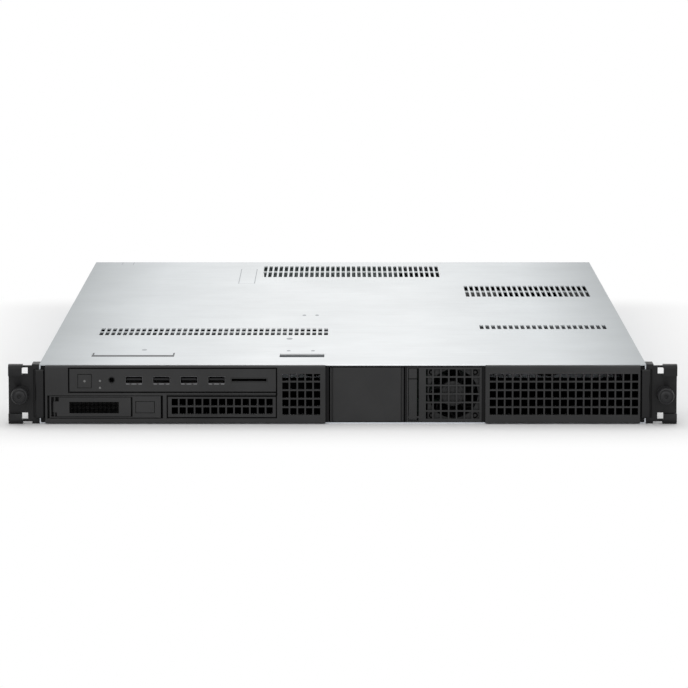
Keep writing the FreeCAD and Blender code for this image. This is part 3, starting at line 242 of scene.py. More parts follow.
def shadedBay(name, look):
    # the tray: bare sheet outside and at the rear; the front bay is coloured near-black as painted shade, its
    # metal and shine taken away
    finish = rolledSheet(name, look)
    tree = finish.node_tree
    shader = tree.nodes["Principled BSDF"]
    axes = objectAxes(tree)
    inside = compute(tree, "LESS_THAN", compute(tree, "ABSOLUTE", axes["X"]), look["halfWidth"])
    inside = compute(tree, "MULTIPLY", inside, compute(tree, "LESS_THAN", axes["Y"], look["bayEnd"]))
    inside = compute(tree, "MULTIPLY", inside, compute(tree, "GREATER_THAN", axes["Z"], look["floor"]))
    tint = shader.inputs["Base Color"].links[0].from_socket
    # painted shade: near-black inside the front bay
    tree.links.new(blendColors(tree, "MIX", inside, tint, look["bayShade"]), shader.inputs["Base Color"])
    bare = compute(tree, "SUBTRACT", 1.0, inside)
    tree.links.new(compute(tree, "MULTIPLY", bare, look["metal"]), shader.inputs["Metallic"])
    tree.links.new(compute(tree, "MULTIPLY", bare, look["bareShine"]), shader.inputs["Specular IOR Level"])
    return finish


def plainMetal(name, look):
    finish, tree, shader = newFinish(name)
    cloud = spread(tree, look["cloud"], detail=3)
    tint = ramp(tree, cloud, ((0.3, scaled(look["tint"], 0.88)), (0.7, scaled(look["tint"], 1.05))))
    paintFrom(tree, shader, tint, rescale(tree, cloud, look["rough"] - 0.06, look["rough"] + 0.08))
    shader.inputs["Metallic"].default_value = look["metal"]
    relief(tree, shader, spread(tree, look["cloud"] * 12), 0.15, 0.00003)
    return finish


def boardMask(name, look):
    # solder mask over copper tracks: thin parallel lines that bend in steps
    finish, tree, shader = newFinish(name)
    place = tree.nodes.new("ShaderNodeTexCoord")
    brick = tree.nodes.new("ShaderNodeTexBrick")
    brick.inputs["Scale"].default_value = look["tracks"]
    brick.inputs["Mortar Size"].default_value = 0.012
    brick.inputs["Color1"].default_value = (*look["tint"], 1)
    brick.inputs["Color2"].default_value = (*scaled(look["tint"], 0.8), 1)
    brick.inputs["Mortar"].default_value = (*scaled(look["tint"], 1.9), 1)
    tree.links.new(place.outputs["Object"], brick.inputs["Vector"])
    cloud = spread(tree, 60, detail=2)
    shade = ramp(tree, cloud, ((0.35, (0.8, 0.8, 0.8)), (0.65, (1, 1, 1))))
    tint = blendColors(tree, "MULTIPLY", 1.0, brick.outputs["Color"], shade)
    paintFrom(tree, shader, tint, rescale(tree, cloud, 0.3, 0.45))
    relief(tree, shader, brick.outputs["Fac"], 0.3, 0.00004)
    return finish


plastics = {
    # tint, scale of the mould's grain, roughness, specular level
    "bezel": ((0.024, 0.024, 0.0245), 1900, 0.50, 0.23),
    "panel": ((0.0245, 0.0245, 0.025), 2200, 0.47, 0.23),
    "ear": ((0.008, 0.008, 0.0085), 1500, 0.42, 0.22),
    "black": ((0.006, 0.006, 0.0065), 2200, 0.55, 0.15),
    "knob": ((0.011, 0.011, 0.012), 2600, 0.38, 0.25),
    "slate": ((0.020, 0.026, 0.030), 2200, 0.60, 0.1),
    "socket": ((0.008, 0.008, 0.009), 2200, 0.40, 0.2),
    "cable": ((0.010, 0.010, 0.011), 1200, 0.50, 0.3),
    # near-black that stands as painted shade on the cages, the parting lines and the handle's grille bars,
    # and is the fan frames' and screws' own black
    "shadeBlack": ((0.0025, 0.0025, 0.0025), 1200, 0.85, 0.02),
    "lens": ((0.15, 0.15, 0.15), 2200, 0.35, 0.4),
}
metals = {
    # tint, scale of the clouds, roughness, share of metal
    "tin": ((0.62, 0.62, 0.63), 90, 0.30, 1.0),
    "dullTin": ((0.16, 0.16, 0.165), 90, 0.45, 0.8),
    "aluminium": ((0.80, 0.80, 0.81), 70, 0.34, 1.0),
    "case": ((0.50, 0.51, 0.53), 120, 0.45, 1.0),
    "screw": ((0.50, 0.50, 0.51), 140, 0.35, 1.0),
    "brass": ((0.72, 0.55, 0.26), 140, 0.30, 1.0),
    "gold": ((0.83, 0.62, 0.25), 200, 0.25, 1.0),
}
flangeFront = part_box("left_bezel")[1].y / mm
sheetLook = {"tint": (0.60, 0.63, 0.67), "cloud": 26, "streak": 900, "rough": 0.42, "metal": 0.7,
             "relief": 0.15}
# the bay colour below is painted shade that makes the tray's front bay near-black
trayLook = dict(sheetLook, halfWidth=0.2182, bayEnd=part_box("fan_wall")[0].y, floor=0.0009,
                bayShade=(0.004, 0.004, 0.004), bareShine=0.5)
coverLook = {
    "tint": (0.87, 0.895, 0.905), "cloud": 14, "streak": 700, "rough": 0.46, "metal": 0.2, "relief": 0.12,
    # the middle and side tints below are painted shade toward the cover's sides
    "halfWidth": 0.219, "midShadeTint": (0.82, 0.835, 0.845), "sideShadeTint": (0.47, 0.49, 0.50),
    "dentShadeTint": (0.36, 0.38, 0.40), "gripShadowTint": (0.03, 0.036, 0.04),
    # middle, width and length of the painted shadow along the front and ends of the finger grip
    "gripShadows": [(-153.8, flangeFront + 46.6, 60.5, 9.5), (-183.4, flangeFront + 57, 1.2, 14),
                (-124.2, flangeFront + 57, 1.2, 14)],
    # middle, width and length of the painted shade in the pressed dimples
    "dimples": [(-30.4, flangeFront + 294.6, 3.0, 9), (-20.3, flangeFront + 294.6, 3.0, 9),
                (-40.2, flangeFront + 147, 4.7, 12), (-40.0, flangeFront + 76, 3.0, 7),
                (-22.0, flangeFront + 76, 3.0, 7), (-147.0, flangeFront + 81, 4.0, 9)],
    # middle, width and length of the stamped outlines, and half the width of their line of painted shade
    "outlines": [(-81.5, flangeFront + 575, 13.5, 112, 0.35), (-190, flangeFront + 676, 10, 24, 0.4)],
}
finishes = {
    "sheet": rolledSheet("zincSheet", sheetLook),
    "cover": coverSheet("coverSheet", coverLook),
    # the tray's finish: painted shade makes its front bay near-black
    "tray": shadedBay("traySheet", trayLook),
    "board": boardMask("greenBoard", {"tint": (0.012, 0.06, 0.032), "tracks": 55}),
    "darkBoard": boardMask("darkBoard", {"tint": (0.012, 0.016, 0.02), "tracks": 70}),
}
for name, (tint, grain, rough, shine) in plastics.items():
    look = {"tint": tint, "cloud": 24, "grain": grain, "rough": rough, "shine": shine, "relief": 0.22}
    finishes[name] = mouldedPlastic(name + "Plastic", look)
for name, (tint, cloud, rough, metal) in metals.items():
    look = {"tint": tint, "cloud": cloud, "rough": rough, "metal": metal}
    finishes[name] = plainMetal(name + "Metal", look)
print("stage: finishes made,", len(finishes))


# ---- tools for pieces
def slotOf(node):
    return next(part["material_slot"] for part in frame["record"]["subparts"] if part["node"] == node)


def bodyOf(node):
    return next(body for body, held in frame["record"]["behaviour"]["bodies"].items() if node in held)


def paintNode(node, finish):
    for place in nodes[node].material_slots:
        place.material = finishes[finish]


def shape():
    return bmesh.new()


def boxOf(node):
    low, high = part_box(node)
    return Vector(low) / mm, Vector(high) / mm


def solidsOf(node):
    # corners of each separate solid of a node, left to right, in millimetres
    mesh = shape()
    mesh.from_mesh(nodes[node].data)
    bmesh.ops.remove_doubles(mesh, verts=mesh.verts, dist=1e-6)
    left, boxes = set(mesh.verts), []
    while left:
        stack, found = [left.pop()], []
        while stack:
            vert = stack.pop()
            found.append(vert.co / mm)
            for edge in vert.link_edges:
                other = edge.other_vert(vert)
                if other in left:
                    left.remove(other)
                    stack.append(other)
        boxes.append((Vector([min(c) for c in zip(*found)]), Vector([max(c) for c in zip(*found)])))
    mesh.free()
    return sorted(boxes, key=lambda box: (round(box[0].x, 2), round(box[0].y, 2)))


# sizes and places below are in millimetres
def addBlock(mesh, low, high):
    low, high = Vector(low) * mm, Vector(high) * mm
    place = Matrix.Translation((low + high) / 2) @ Matrix.Diagonal((*(high - low), 1))
    return bmesh.ops.create_cube(mesh, size=1, matrix=place)["verts"]


def addTurned(mesh, profile, centre, along, steps=48):
    # profile: (radius, distance) points spun round the axis through centre
    axis = Vector(along).normalized()
    side = axis.orthogonal().normalized()
    centre = Vector(centre) * mm
    before = set(mesh.verts)
    points = [mesh.verts.new(centre + side * r * mm + axis * d * mm) for r, d in profile]
    edges = [mesh.edges.new(pair) for pair in zip(points, points[1:])]
    bmesh.ops.spin(mesh, geom=points + edges, cent=centre, axis=axis, angle=2 * math.pi,
                   steps=steps, use_merge=True)
    made = [v for v in mesh.verts if v not in before]
    bmesh.ops.remove_doubles(mesh, verts=made, dist=1e-6)
    made = [v for v in mesh.verts if v not in before]
    faces = {face for v in made for face in v.link_faces}
    bmesh.ops.recalc_face_normals(mesh, faces=list(faces))
    return made


def addHollow(mesh, low, high, wall, depth, towards):
    # a box with one open side, which faces along Y: towards is 1 or -1
    made = addBlock(mesh, low, high)
    faces = {face for v in made for face in v.link_faces}
    mouth = max(faces, key=lambda face: face.calc_center_median().y * towards)
    bmesh.ops.inset_region(mesh, faces=[mouth], thickness=wall * mm)
    pushed = bmesh.ops.extrude_discrete_faces(mesh, faces=[mouth])["faces"][0]
    bmesh.ops.translate(mesh, verts=pushed.verts, vec=(0, -towards * depth * mm, 0))


def addPlateWithBore(mesh, middle, half, radius, front, back, steps=48):
    # a square plate across Y with a round hole
    loops = []
    for _ in range(2):
        place = Matrix.Translation((middle[0] * mm, front * mm, middle[1] * mm))
        place = place @ Matrix.Rotation(math.pi / 2, 4, "X")
        loops.append(bmesh.ops.create_circle(mesh, segments=steps, radius=radius * mm, matrix=place)["verts"])
    for vert in loops[1]:
        away = Vector((vert.co.x / mm - middle[0], vert.co.z / mm - middle[1]))
        away *= half / max(abs(away.x), abs(away.y))
        vert.co.x, vert.co.z = (middle[0] + away.x) * mm, (middle[1] + away.y) * mm
    rims = list({edge for loop in loops for v in loop for edge in v.link_edges})
    faces = bmesh.ops.bridge_loops(mesh, edges=rims)["faces"]
    grown = bmesh.ops.extrude_face_region(mesh, geom=faces)["geom"]
    moved = [item for item in grown if isinstance(item, bmesh.types.BMVert)]
    bmesh.ops.translate(mesh, verts=moved, vec=(0, (back - front) * mm, 0))
    corners = moved + [vert for loop in loops for vert in loop]
    made = {face for vert in corners for face in vert.link_faces}
    bmesh.ops.recalc_face_normals(mesh, faces=list(made))


def addBlades(mesh, middle, look):
    # curved fan blades round an axis along Y, their roots sunk into the hub
    root = look["hub"] - look["sunk"]
    for k in range(look["count"]):
        verts = bmesh.ops.create_grid(mesh, x_segments=6, y_segments=5, size=0.5)["verts"]
        span = max(v.co.x for v in verts)
        for vert in verts:
            out, across = vert.co.x / span / 2 + 0.5, vert.co.y / span / 2 + 0.5
            radius = root + (look["tip"] - root) * out
            angle = 2 * math.pi * k / look["count"]
            angle += math.radians(look["turn"] * across + look["sweep"] * out * out)
            deep = look["depth"] * (look["start"] + look["share"] * across)
            vert.co = Vector((middle[0] + radius * math.cos(angle), middle[1] + deep,
                              middle[2] + radius * math.sin(angle))) * mm
        faces = list({face for v in verts for face in v.link_faces})
        bmesh.ops.recalc_face_normals(mesh, faces=faces)
        bmesh.ops.solidify(mesh, geom=faces, thickness=look["thick"] * mm)


def squareUp(mesh, lines=()):
    # cuts a windowed plate along the lines of its windows and drops the slanted edges between triangles,
    # so that its corners can be rounded cleanly; lines adds (axis, place) cuts through round holes
    same, shortest, flatness = 1e-6, 0.8 * mm, 0.99999

    def along(edge):
        return edge.verts[1].co - edge.verts[0].co

    def straight(edge):
        return sum(abs(c) > same for c in along(edge)) == 1

    for axis in range(3):
        cuts = {round(place * mm, 6) for way, place in lines if way == axis}
        for edge in mesh.edges:
            way = along(edge)
            if straight(edge) and way.length > shortest and abs(way[axis]) < same:
                cuts.add(round(edge.verts[0].co[axis], 6))
        for cut in sorted(cuts):
            spot, way = Vector((0, 0, 0)), Vector((0, 0, 0))
            spot[axis], way[axis] = cut, 1
            bmesh.ops.bisect_plane(mesh, geom=mesh.verts[:] + mesh.edges[:] + mesh.faces[:],
                                   dist=2 * same, plane_co=spot, plane_no=way)
    flat = [edge for edge in mesh.edges if len(edge.link_faces) == 2 and not straight(edge)
            and edge.link_faces[0].normal.dot(edge.link_faces[1].normal) > flatness]
    bmesh.ops.dissolve_edges(mesh, edges=flat, use_verts=False, use_face_split=False)


def finishPiece(mesh, name, finish, body, slot, edge=0.0, replaces=(), smooth=35, segments=2):
    data = bpy.data.meshes.new(name)
    mesh.to_mesh(data)
    mesh.free()
    data.materials.append(finishes[finish])
    piece = bpy.data.objects.new(name, data)
    bpy.context.collection.objects.link(piece)
    data.shade_smooth()
    data.set_sharp_from_angle(angle=math.radians(smooth))
    if edge:
        soften(piece, edge, segments).harden_normals = smooth > 0
    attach(piece, body)
    if replaces:
        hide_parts(*replaces)
    return piece


def soften(piece, edge, segments=2, angle=32):
    bevel = piece.modifiers.new("softEdges", "BEVEL")
    bevel.width = edge
    bevel.segments = segments
    bevel.limit_method = "ANGLE"
    bevel.angle_limit = math.radians(angle)
    bevel.use_clamp_overlap = True
    return bevel


def copyOf(node):
    mesh = shape()
    mesh.from_mesh(nodes[node].data)
    bmesh.ops.remove_doubles(mesh, verts=mesh.verts, dist=1e-6)
    return mesh


def dress(mesh, name, finish, node, edge=0.0, replaces=True, **more):
    # a new piece that rides with a node, in place of it unless replaces is off
    gone = (node,) if replaces else ()
    return finishPiece(mesh, name, finish, bodyOf(node), slotOf(node), edge, gone, **more)


# ---- every solid gets its finish
# psu_cage and drive_cage are coloured near-black as painted shade
nodeFinish = {
    "chassis_tray": "tray", "front_frame": "black", "rear_panel": "sheet", "rail_studs": "screw",
    "ear_screws": "screw", "usb_ports": "dullTin", "headset_jack": "socket", "card_reader": "panel",
    "io_board": "board", "light_pipes": "lens", "psu_cage": "shadeBlack", "psu_case": "sheet",
    "psu_board": "board", "power_backplane": "board", "fan_wall": "sheet", "psu_fan_frame": "bezel",
    "psu_fan_rotor": "black", "fan_frames": "shadeBlack", "drive_cage": "shadeBlack", "drive_backplane": "board",
    "drive_carrier": "panel", "solid_state_drive": "case", "system_board": "board",
    "board_standoffs": "brass", "cpu": "tin", "cpu_heatsink": "aluminium", "dimm_slots": "black",
    "memory_modules": "board", "coin_cell": "tin", "rear_io_ports": "tin", "ac_inlets": "socket",
    "power_cables": "cable", "expansion_card": "board", "riser_cards": "board",
    "graphics_board": "darkBoard", "graphics_shroud": "black", "blower_rotor": "black",
    "slot_brackets": "sheet", "top_cover": "cover", "cover_latch": "slate", "left_bezel": "bezel",
    "right_bezel": "bezel", "io_panel": "panel", "left_ear": "ear", "right_ear": "ear",
    "left_thumbscrew": "knob", "right_thumbscrew": "knob", "power_button": "panel",
    "psu_face": "bezel", "psu_handle": "panel", "psu_release": "panel", "psu_bay_blank": "bezel",
    "carrier_handle": "panel", "carrier_release": "panel",
}
for node in nodes:      # the rotors of the six fans aren't listed: they are black
    paintNode(node, nodeFinish.get(node, "black"))
print("stage: solids painted")

softEdges = {       # in metres
    "left_ear": 0.0004, "right_ear": 0.0004, "power_button": 0.0004, "psu_handle": 0.0004,
    "psu_release": 0.0003, "psu_bay_blank": 0.0004, "carrier_release": 0.0003, "cover_latch": 0.0003,
}
for node, edge in softEdges.items():
    dress(copyOf(node), node + "_dressed", nodeFinish[node], node, edge)

jackLow, jackHigh = boxOf("headset_jack")
pipeLow, pipeHigh = boxOf("light_pipes")
usbLow, usbHigh = boxOf("usb_ports")
portHeight = (usbLow.z + usbHigh.z) / 2
pipeRadius = (pipeHigh.x - pipeLow.x) / 2
panelLines = [(0, (jackLow.x + jackHigh.x) / 2), (2, portHeight), (0, (pipeLow.x + pipeHigh.x) / 2),
              (2, pipeLow.z + pipeRadius), (2, pipeHigh.z - pipeRadius)]
windowed = {"left_bezel": [], "right_bezel": [], "psu_face": [], "io_panel": panelLines}
for node, lines in windowed.items():
    mesh = copyOf(node)
    squareUp(mesh, lines)
    dress(mesh, node + "_dressed", nodeFinish[node], node, 0.0002, smooth=0)
print("stage: moulded pieces softened")


# ---- captive screws on the ears
knobLook = {
    "reach": 15.0, "radius": 6.1, "knurls": 40, "knurlDepth": 0.3, "groove": 0.7, "sharp": 28,
    "neck": 2.0, "thread": 2.4, "pitch": 0.8, "neckEnd": 5.1, "threadEnd": 16.5,
    # radius and distance of the outline of the rounded end and its recess
    "end": [(5.75, 13.4), (5.2, 13.9), (4.7, 14.0), (4.55, 13.7), (4.2, 13.7), (4.05, 14.35), (3.1, 14.8),
            (1.9, 15.0), (1.6, 14.9), (1.5, 13.2), (0, 13.0)],
}


def threadProfile(look):
    points, place = [(0, -look["threadEnd"]), (look["neck"], -look["threadEnd"])], -look["threadEnd"]
    while place < -look["neckEnd"] - look["pitch"]:
        points += [(look["thread"], place + look["pitch"] / 2), (look["neck"], place + look["pitch"])]
        place += look["pitch"]
    return points


def makeKnob(node):
    look = knobLook
    low, high = boxOf(node)
    middle = ((low.x + high.x) / 2, low.y + look["reach"], (low.z + high.z) / 2)
    r, waist = look["radius"], look["radius"] - look["groove"]
    profile = threadProfile(look) + [
        (look["neck"], 0), (r, 0.02), (r, 1.4), (waist, 1.7), (waist, 2.1), (r, 2.4), (r, 7.5), (r, 12.6),
    ] + look["end"]
    mesh = shape()
    steps = 2 * look["knurls"]
    verts = addTurned(mesh, profile, middle, (0, -1, 0), steps)
    centre = Vector((middle[0], 0, middle[2])) * mm
    rim = (r - 0.05) * mm
    for vert in verts:
        away = Vector((vert.co.x - centre.x, 0, vert.co.z - centre.z))
        turn = round(math.atan2(away.z, away.x) / (2 * math.pi / steps))
        if away.length > rim and turn % 2:
            vert.co -= away.normalized() * look["knurlDepth"] * mm
    dress(mesh, node + "_knurled", "knob", node, smooth=look["sharp"])


for node in ("left_thumbscrew", "right_thumbscrew"):
    makeKnob(node)
print("stage: captive screws")


# ---- sockets of the front panel
usbLook = {
    "wall": 0.3, "depth": 16.0,
    "tongueWidth": 10.6, "tongueLow": -0.25, "tongueHigh": 1.15, "tongueBack": 0.9,
    # places and half widths of the springs under the shell's mouth
    "springs": [(-4.4, 1.3), (0, 1.9), (4.4, 1.3)], "lipDrop": 0.75, "lipProud": 0.25, "lipBack": 0.4,
    "contacts": 4, "contactPitch": 2.3, "contactHalf": 0.45, "contactFrom": 2.0, "contactTo": 9.0,
    "contactSunk": 0.08, "sunk": 0.02,
}


def makeUsbPorts():
    look = usbLook
    shells, tongues, contacts = shape(), shape(), shape()
    for low, high in solidsOf("usb_ports"):
        x, z = (low.x + high.x) / 2, (low.z + high.z) / 2
        addHollow(shells, low, high, look["wall"], look["depth"], -1)
        for offset, half in look["springs"]:
            middle = x + offset
            addBlock(shells, (middle - half, low.y - look["lipProud"], low.z - look["lipDrop"]),
                     (middle + half, low.y + look["lipBack"], low.z + look["sunk"]))
        half = look["tongueWidth"] / 2
        under = z + look["tongueLow"]
        addBlock(tongues, (x - half, low.y + look["tongueBack"], under),
                 (x + half, low.y + look["depth"], z + look["tongueHigh"]))
        half = look["contactHalf"]
        for k in range(look["contacts"]):
            middle = x + (k - (look["contacts"] - 1) / 2) * look["contactPitch"]
            addBlock(contacts, (middle - half, low.y + look["contactFrom"], under - look["contactSunk"]),
                     (middle + half, low.y + look["contactTo"], under + look["sunk"]))
    dress(shells, "usb_shells", "dullTin", "usb_ports", 0.00008)
    dress(tongues, "usb_tongues", "socket", "usb_ports", 0.0001, replaces=False)
    dress(contacts, "usb_contacts", "gold", "usb_ports", replaces=False)


# radius and distance of the outline of the button's domed light
lightLook = {"outline": [(0, 0.06), (0.7, 0.05), (0.95, -0.05), (0.95, -0.6), (0, -0.6)], "steps": 24}


def makeLights():
    low, high = boxOf("power_button")
    mesh = shape()
    middle = ((low.x + high.x) / 2, low.y, (low.z + high.z) / 2)
    addTurned(mesh, lightLook["outline"], middle, (0, -1, 0), lightLook["steps"])
    dress(mesh, "power_light", "lens", "power_button", replaces=False)


grooveLook = {"left": -127.0, "right": -48.3, "low": 4.4, "high": 20.9, "top": 23.2, "line": 0.9,
              "proud": 0.03, "deep": 0.4}


def makeGrooves():
    # the parting line round the lower grille, drawn as near-black strips of painted shade
    look = grooveLook
    front = boxOf("left_bezel")[0].y
    left, right, low, high, line = (look[key] for key in ("left", "right", "low", "high", "line"))
    mesh = shape()
    for start, end in (
        ((left, low), (right, low + line)),
        ((left, high - line), (right, high)),
        ((left, low + line), (left + line, high - line)),
        ((right, low), (right + line, look["top"])),
    ):
        addBlock(mesh, (start[0], front - look["proud"], start[1]), (end[0], front + look["deep"], end[1]))
    dress(mesh, "bezel_parting_lines", "shadeBlack", "left_bezel", replaces=False)


makeUsbPorts()
makeLights()
makeGrooves()
print("stage: front sockets")


# ---- drive carrier handle with a sunk grille whose bars are coloured near-black as painted shade
handleLook = {"side": 14.3, "pitch": 3.05, "columns": 12, "rows": 3, "low": 8.0, "bar": 0.9, "margin": 2.3,
              "spare": 0.02, "deep": 1}


def makeHandle():
    look = handleLook
    low, high = boxOf("carrier_handle")
    mesh = copyOf("carrier_handle")
    squareUp(mesh)
    dress(mesh, "carrier_handle_dressed", "panel", "carrier_handle", 0.0002, smooth=0)
    left = low.x + look["side"] - look["margin"]
    grilleX = (left, left + look["columns"] * look["pitch"] - look["bar"])
    grilleZ = (look["low"], look["low"] + look["rows"] * look["pitch"] - look["bar"])
    bars = shape()
    front, back = low.y - look["spare"], low.y + look["deep"]
    half = look["bar"] / 2
    reach = half + look["spare"]
    for k in range(look["columns"] - 1):
        x = grilleX[0] + (k + 1) * look["pitch"] - half
        addBlock(bars, (x - reach, front, grilleZ[0]), (x + reach, back, grilleZ[1]))
    for k in range(look["rows"] - 1):
        z = grilleZ[0] + (k + 1) * look["pitch"] - half
        addBlock(bars, (grilleX[0], front, z - reach), (grilleX[1], back, z + reach))
    # painted shade: the grille bars are near-black, not the handle's own grey
    dress(bars, "handle_grille_bars", "shadeBlack", "carrier_handle", replaces=False)


makeHandle()
print("stage: drive carrier")


# ---- fans
supplyFanLook = {
    "count": 7, "hub": 9.2, "tip": 17.3, "turn": 40, "sweep": 22, "depth": 24, "thick": 0.8,
    "sunk": 0.4, "start": 0.06, "share": 0.86, "hubWall": 1.2, "hubFace": 2,
}
frontFanLook = dict(supplyFanLook, tip=18.2)


def makeRotor(node, look, hubFinish, bladeFinish):
    low, high = boxOf(node)
    middle = ((low.x + high.x) / 2, low.y, (low.z + high.z) / 2)
    blades, hub = shape(), shape()
    addBlades(blades, middle, look)
    r, end, inner = look["hub"], look["depth"] - 2, look["hub"] - look["hubWall"]
    addTurned(hub, [(0, 0.5), (6.4, 0.5), (6.6, 0.25), (r - 0.9, 0.2), (r - 0.2, 0.5), (r, 1.2), (r, end),
                    (inner, end), (inner, look["hubFace"]), (0, look["hubFace"])], middle, (0, 1, 0))
    dress(blades, node + "_blades", bladeFinish, node, smooth=40)
    dress(hub, node + "_hub", hubFinish, node, replaces=False)


housingLook = {
    "rim": 0.9, "flange": 3.2, "setBack": 0.4, "tubeFrom": 3, "tubeTo": 25, "tubeSpare": 0.1,
    # place of the screws as a share of the half width, and radius and distance of a head's outline
    "screws": 4, "screwReach": 1.19, "screwSteps": 20,
    "head": [(0, -0.9), (1.0, -0.9), (1.1, -0.15), (2.0, -0.25), (2.2, -0.8), (2.2, -3), (0, -3)],
}


def makeSupplyFan():
    look = housingLook
    low, high = boxOf("psu_fan_frame")
    middle = ((low.x + high.x) / 2, (low.z + high.z) / 2)
    half = (high.x - low.x) / 2
    bore, tube = half - look["rim"], half - look["tubeSpare"]
    frame, screws = shape(), shape()
    addPlateWithBore(frame, middle, half, bore, low.y + look["setBack"], low.y + look["flange"])
    addPlateWithBore(frame, middle, half, bore, high.y - look["flange"], high.y)
    centre = (middle[0], low.y, middle[1])
    start, end = look["tubeFrom"], look["tubeTo"]
    ring = [(bore, start), (tube, start), (tube, end), (bore, end), (bore, start)]
    addTurned(frame, ring, centre, (0, 1, 0))
    for k in range(look["screws"]):
        turn = 2 * math.pi * (k + 0.5) / look["screws"]
        way = Vector((math.cos(turn), 0, math.sin(turn)))
        corner = Vector(centre) + way * (half * look["screwReach"])
        addTurned(screws, look["head"], (corner.x, low.y, corner.z), (0, -1, 0), look["screwSteps"])
    dress(frame, "psu_fan_housing", "bezel", "psu_fan_frame", 0.0002)
    dress(screws, "psu_fan_screws", "shadeBlack", "psu_fan_frame", replaces=False)


makeSupplyFan()
makeRotor("psu_fan_rotor", supplyFanLook, "bezel", "black")
for node in sorted(name for name in nodes if name.startswith("fan_rotor_")):
    makeRotor(node, frontFanLook, "black", "black")
print("stage: fans")


# ---- studs and screws on the sides
studLook = {"neck": 2.5, "seat": 1.6, "head": 4.2, "recess": 1.2, "steps": 40}
earScrewLook = {
    "steps": 32,
    # radius and distance of the outline, from the shank's end to the bottom of the recess
    "outline": [(0, -4.8), (1.85, -4.8), (1.85, -1.45), (3.15, -1.4), (3.15, -0.7), (2.6, -0.2), (1.5, 0),
                (1.3, 0), (0.9, -0.9), (0, -0.95)],
}


def makeStuds():
    look = studLook
    neck, seat, head, recess = look["neck"], look["seat"], look["head"], look["recess"]
    mesh = shape()
    for low, high in solidsOf("rail_studs"):
        side = 1 if low.x > 0 else -1
        root = low.x if side > 0 else high.x
        end = high.x - low.x
        outline = [(0, 0), (neck, 0), (neck, seat - 0.05), (head - 0.3, seat), (head, seat + 0.25),
                   (head, end - 0.35), (head - 0.4, end), (recess + 0.4, end), (recess, end - 0.5),
                   (0, end - 0.6)]
        middle = (root, (low.y + high.y) / 2, (low.z + high.z) / 2)
        addTurned(mesh, outline, middle, (side, 0, 0), look["steps"])
    dress(mesh, "rail_studs_turned", "screw", "rail_studs", smooth=30)


def makeEarScrews():
    mesh = shape()
    for low, high in solidsOf("ear_screws"):
        side = 1 if low.x > 0 else -1
        tip = high.x if side > 0 else low.x
        centre = (tip, (low.y + high.y) / 2, (low.z + high.z) / 2)
        addTurned(mesh, earScrewLook["outline"], centre, (side, 0, 0), earScrewLook["steps"])
    dress(mesh, "ear_screws_turned", "screw", "ear_screws", smooth=30)


makeStuds()
makeEarScrews()
print("stage: side fasteners")


# ---- sockets of the rear
rearLook = {
    "wall": 0.6, "depth": 17.0, "displayWidth": 16.5, "stackHeight": 15,
    # display socket: half width, ends and levels of its tongue
    "tongue": {"half": 6, "from": 15, "to": 2, "low": 2.6, "high": 3.8},
    # two stacked sockets: the bar between them, and a tongue in each
    "bar": {"in": 0.5, "from": 16, "to": 0.2, "half": 0.9},
    "stack": {"levels": (0.29, 0.79), "half": 5.6, "from": 15, "to": 1.2, "low": -0.2, "high": 1.4},
    # network socket: cheeks, steps beside the latch's notch, end wall and contacts
    "throat": {"from": 16.5, "to": 0.6, "cheek": 2.2, "step": 5.1, "stepHigh": 3.4,
               "wallFrom": 16.8, "wallTo": 12},
    "contacts": {"count": 8, "pitch": 1.0, "half": 0.22, "from": 11, "to": 3, "low": 2.0, "high": 1.6},
}


def addThroat(inserts, contacts, low, high):
    # the stepped inside of a network socket and its contacts
    look, wall, back = rearLook["throat"], rearLook["wall"], high.y
    floor, start, end = low.z + wall, back - look["from"], back - look["to"]
    left, right = low.x + look["cheek"], high.x - look["cheek"]
    for x0, x1 in ((low.x + wall, left), (right, high.x - wall)):
        addBlock(inserts, (x0, start, floor), (x1, end, high.z - wall))
    for x0, x1 in ((left, low.x + look["step"]), (high.x - look["step"], right)):
        addBlock(inserts, (x0, start, floor), (x1, end, low.z + look["stepHigh"]))
    addBlock(inserts, (left, back - look["wallFrom"], floor), (right, back - look["wallTo"], high.z - wall))
    pins = rearLook["contacts"]
    for k in range(pins["count"]):
        middle = (low.x + high.x) / 2 + (k - (pins["count"] - 1) / 2) * pins["pitch"]
        addBlock(contacts, (middle - pins["half"], back - pins["from"], high.z - pins["low"]),
                 (middle + pins["half"], back - pins["to"], high.z - pins["high"]))


def addTongue(inserts, x, back, level, look):
    addBlock(inserts, (x - look["half"], back - look["from"], level + look["low"]),
             (x + look["half"], back - look["to"], level + look["high"]))


def makeRearPorts():
    look = rearLook
    shells, inserts, contacts = shape(), shape(), shape()
    for low, high in solidsOf("rear_io_ports"):
        addHollow(shells, low, high, look["wall"], look["depth"], 1)
        x, width, height = (low.x + high.x) / 2, high.x - low.x, high.z - low.z
        if width > look["displayWidth"]:
            addTongue(inserts, x, high.y, low.z, look["tongue"])
        elif height > look["stackHeight"]:
            bar, middle = look["bar"], low.z + height / 2
            addBlock(shells, (low.x + bar["in"], high.y - bar["from"], middle - bar["half"]),
                     (high.x - bar["in"], high.y - bar["to"], middle + bar["half"]))
            for level in look["stack"]["levels"]:
                addTongue(inserts, x, high.y, low.z + height * level, look["stack"])
        else:
            addThroat(inserts, contacts, low, high)
    dress(shells, "rear_shells", "tin", "rear_io_ports", 0.00015)
    dress(inserts, "rear_inserts", "socket", "rear_io_ports", 0.00015, replaces=False)
    dress(contacts, "rear_contacts", "gold", "rear_io_ports", replaces=False)


makeRearPorts()
print("stage: rear sockets")


# ---- camera, floor, light
cameraLook = {"distance": 2.919, "height": 0.432, "lens": 213.5, "sensor": 36, "pitch": 7.302,
              "shift": 0.0019, "earToFlange": 0.004, "near": 0.05, "far": 50}


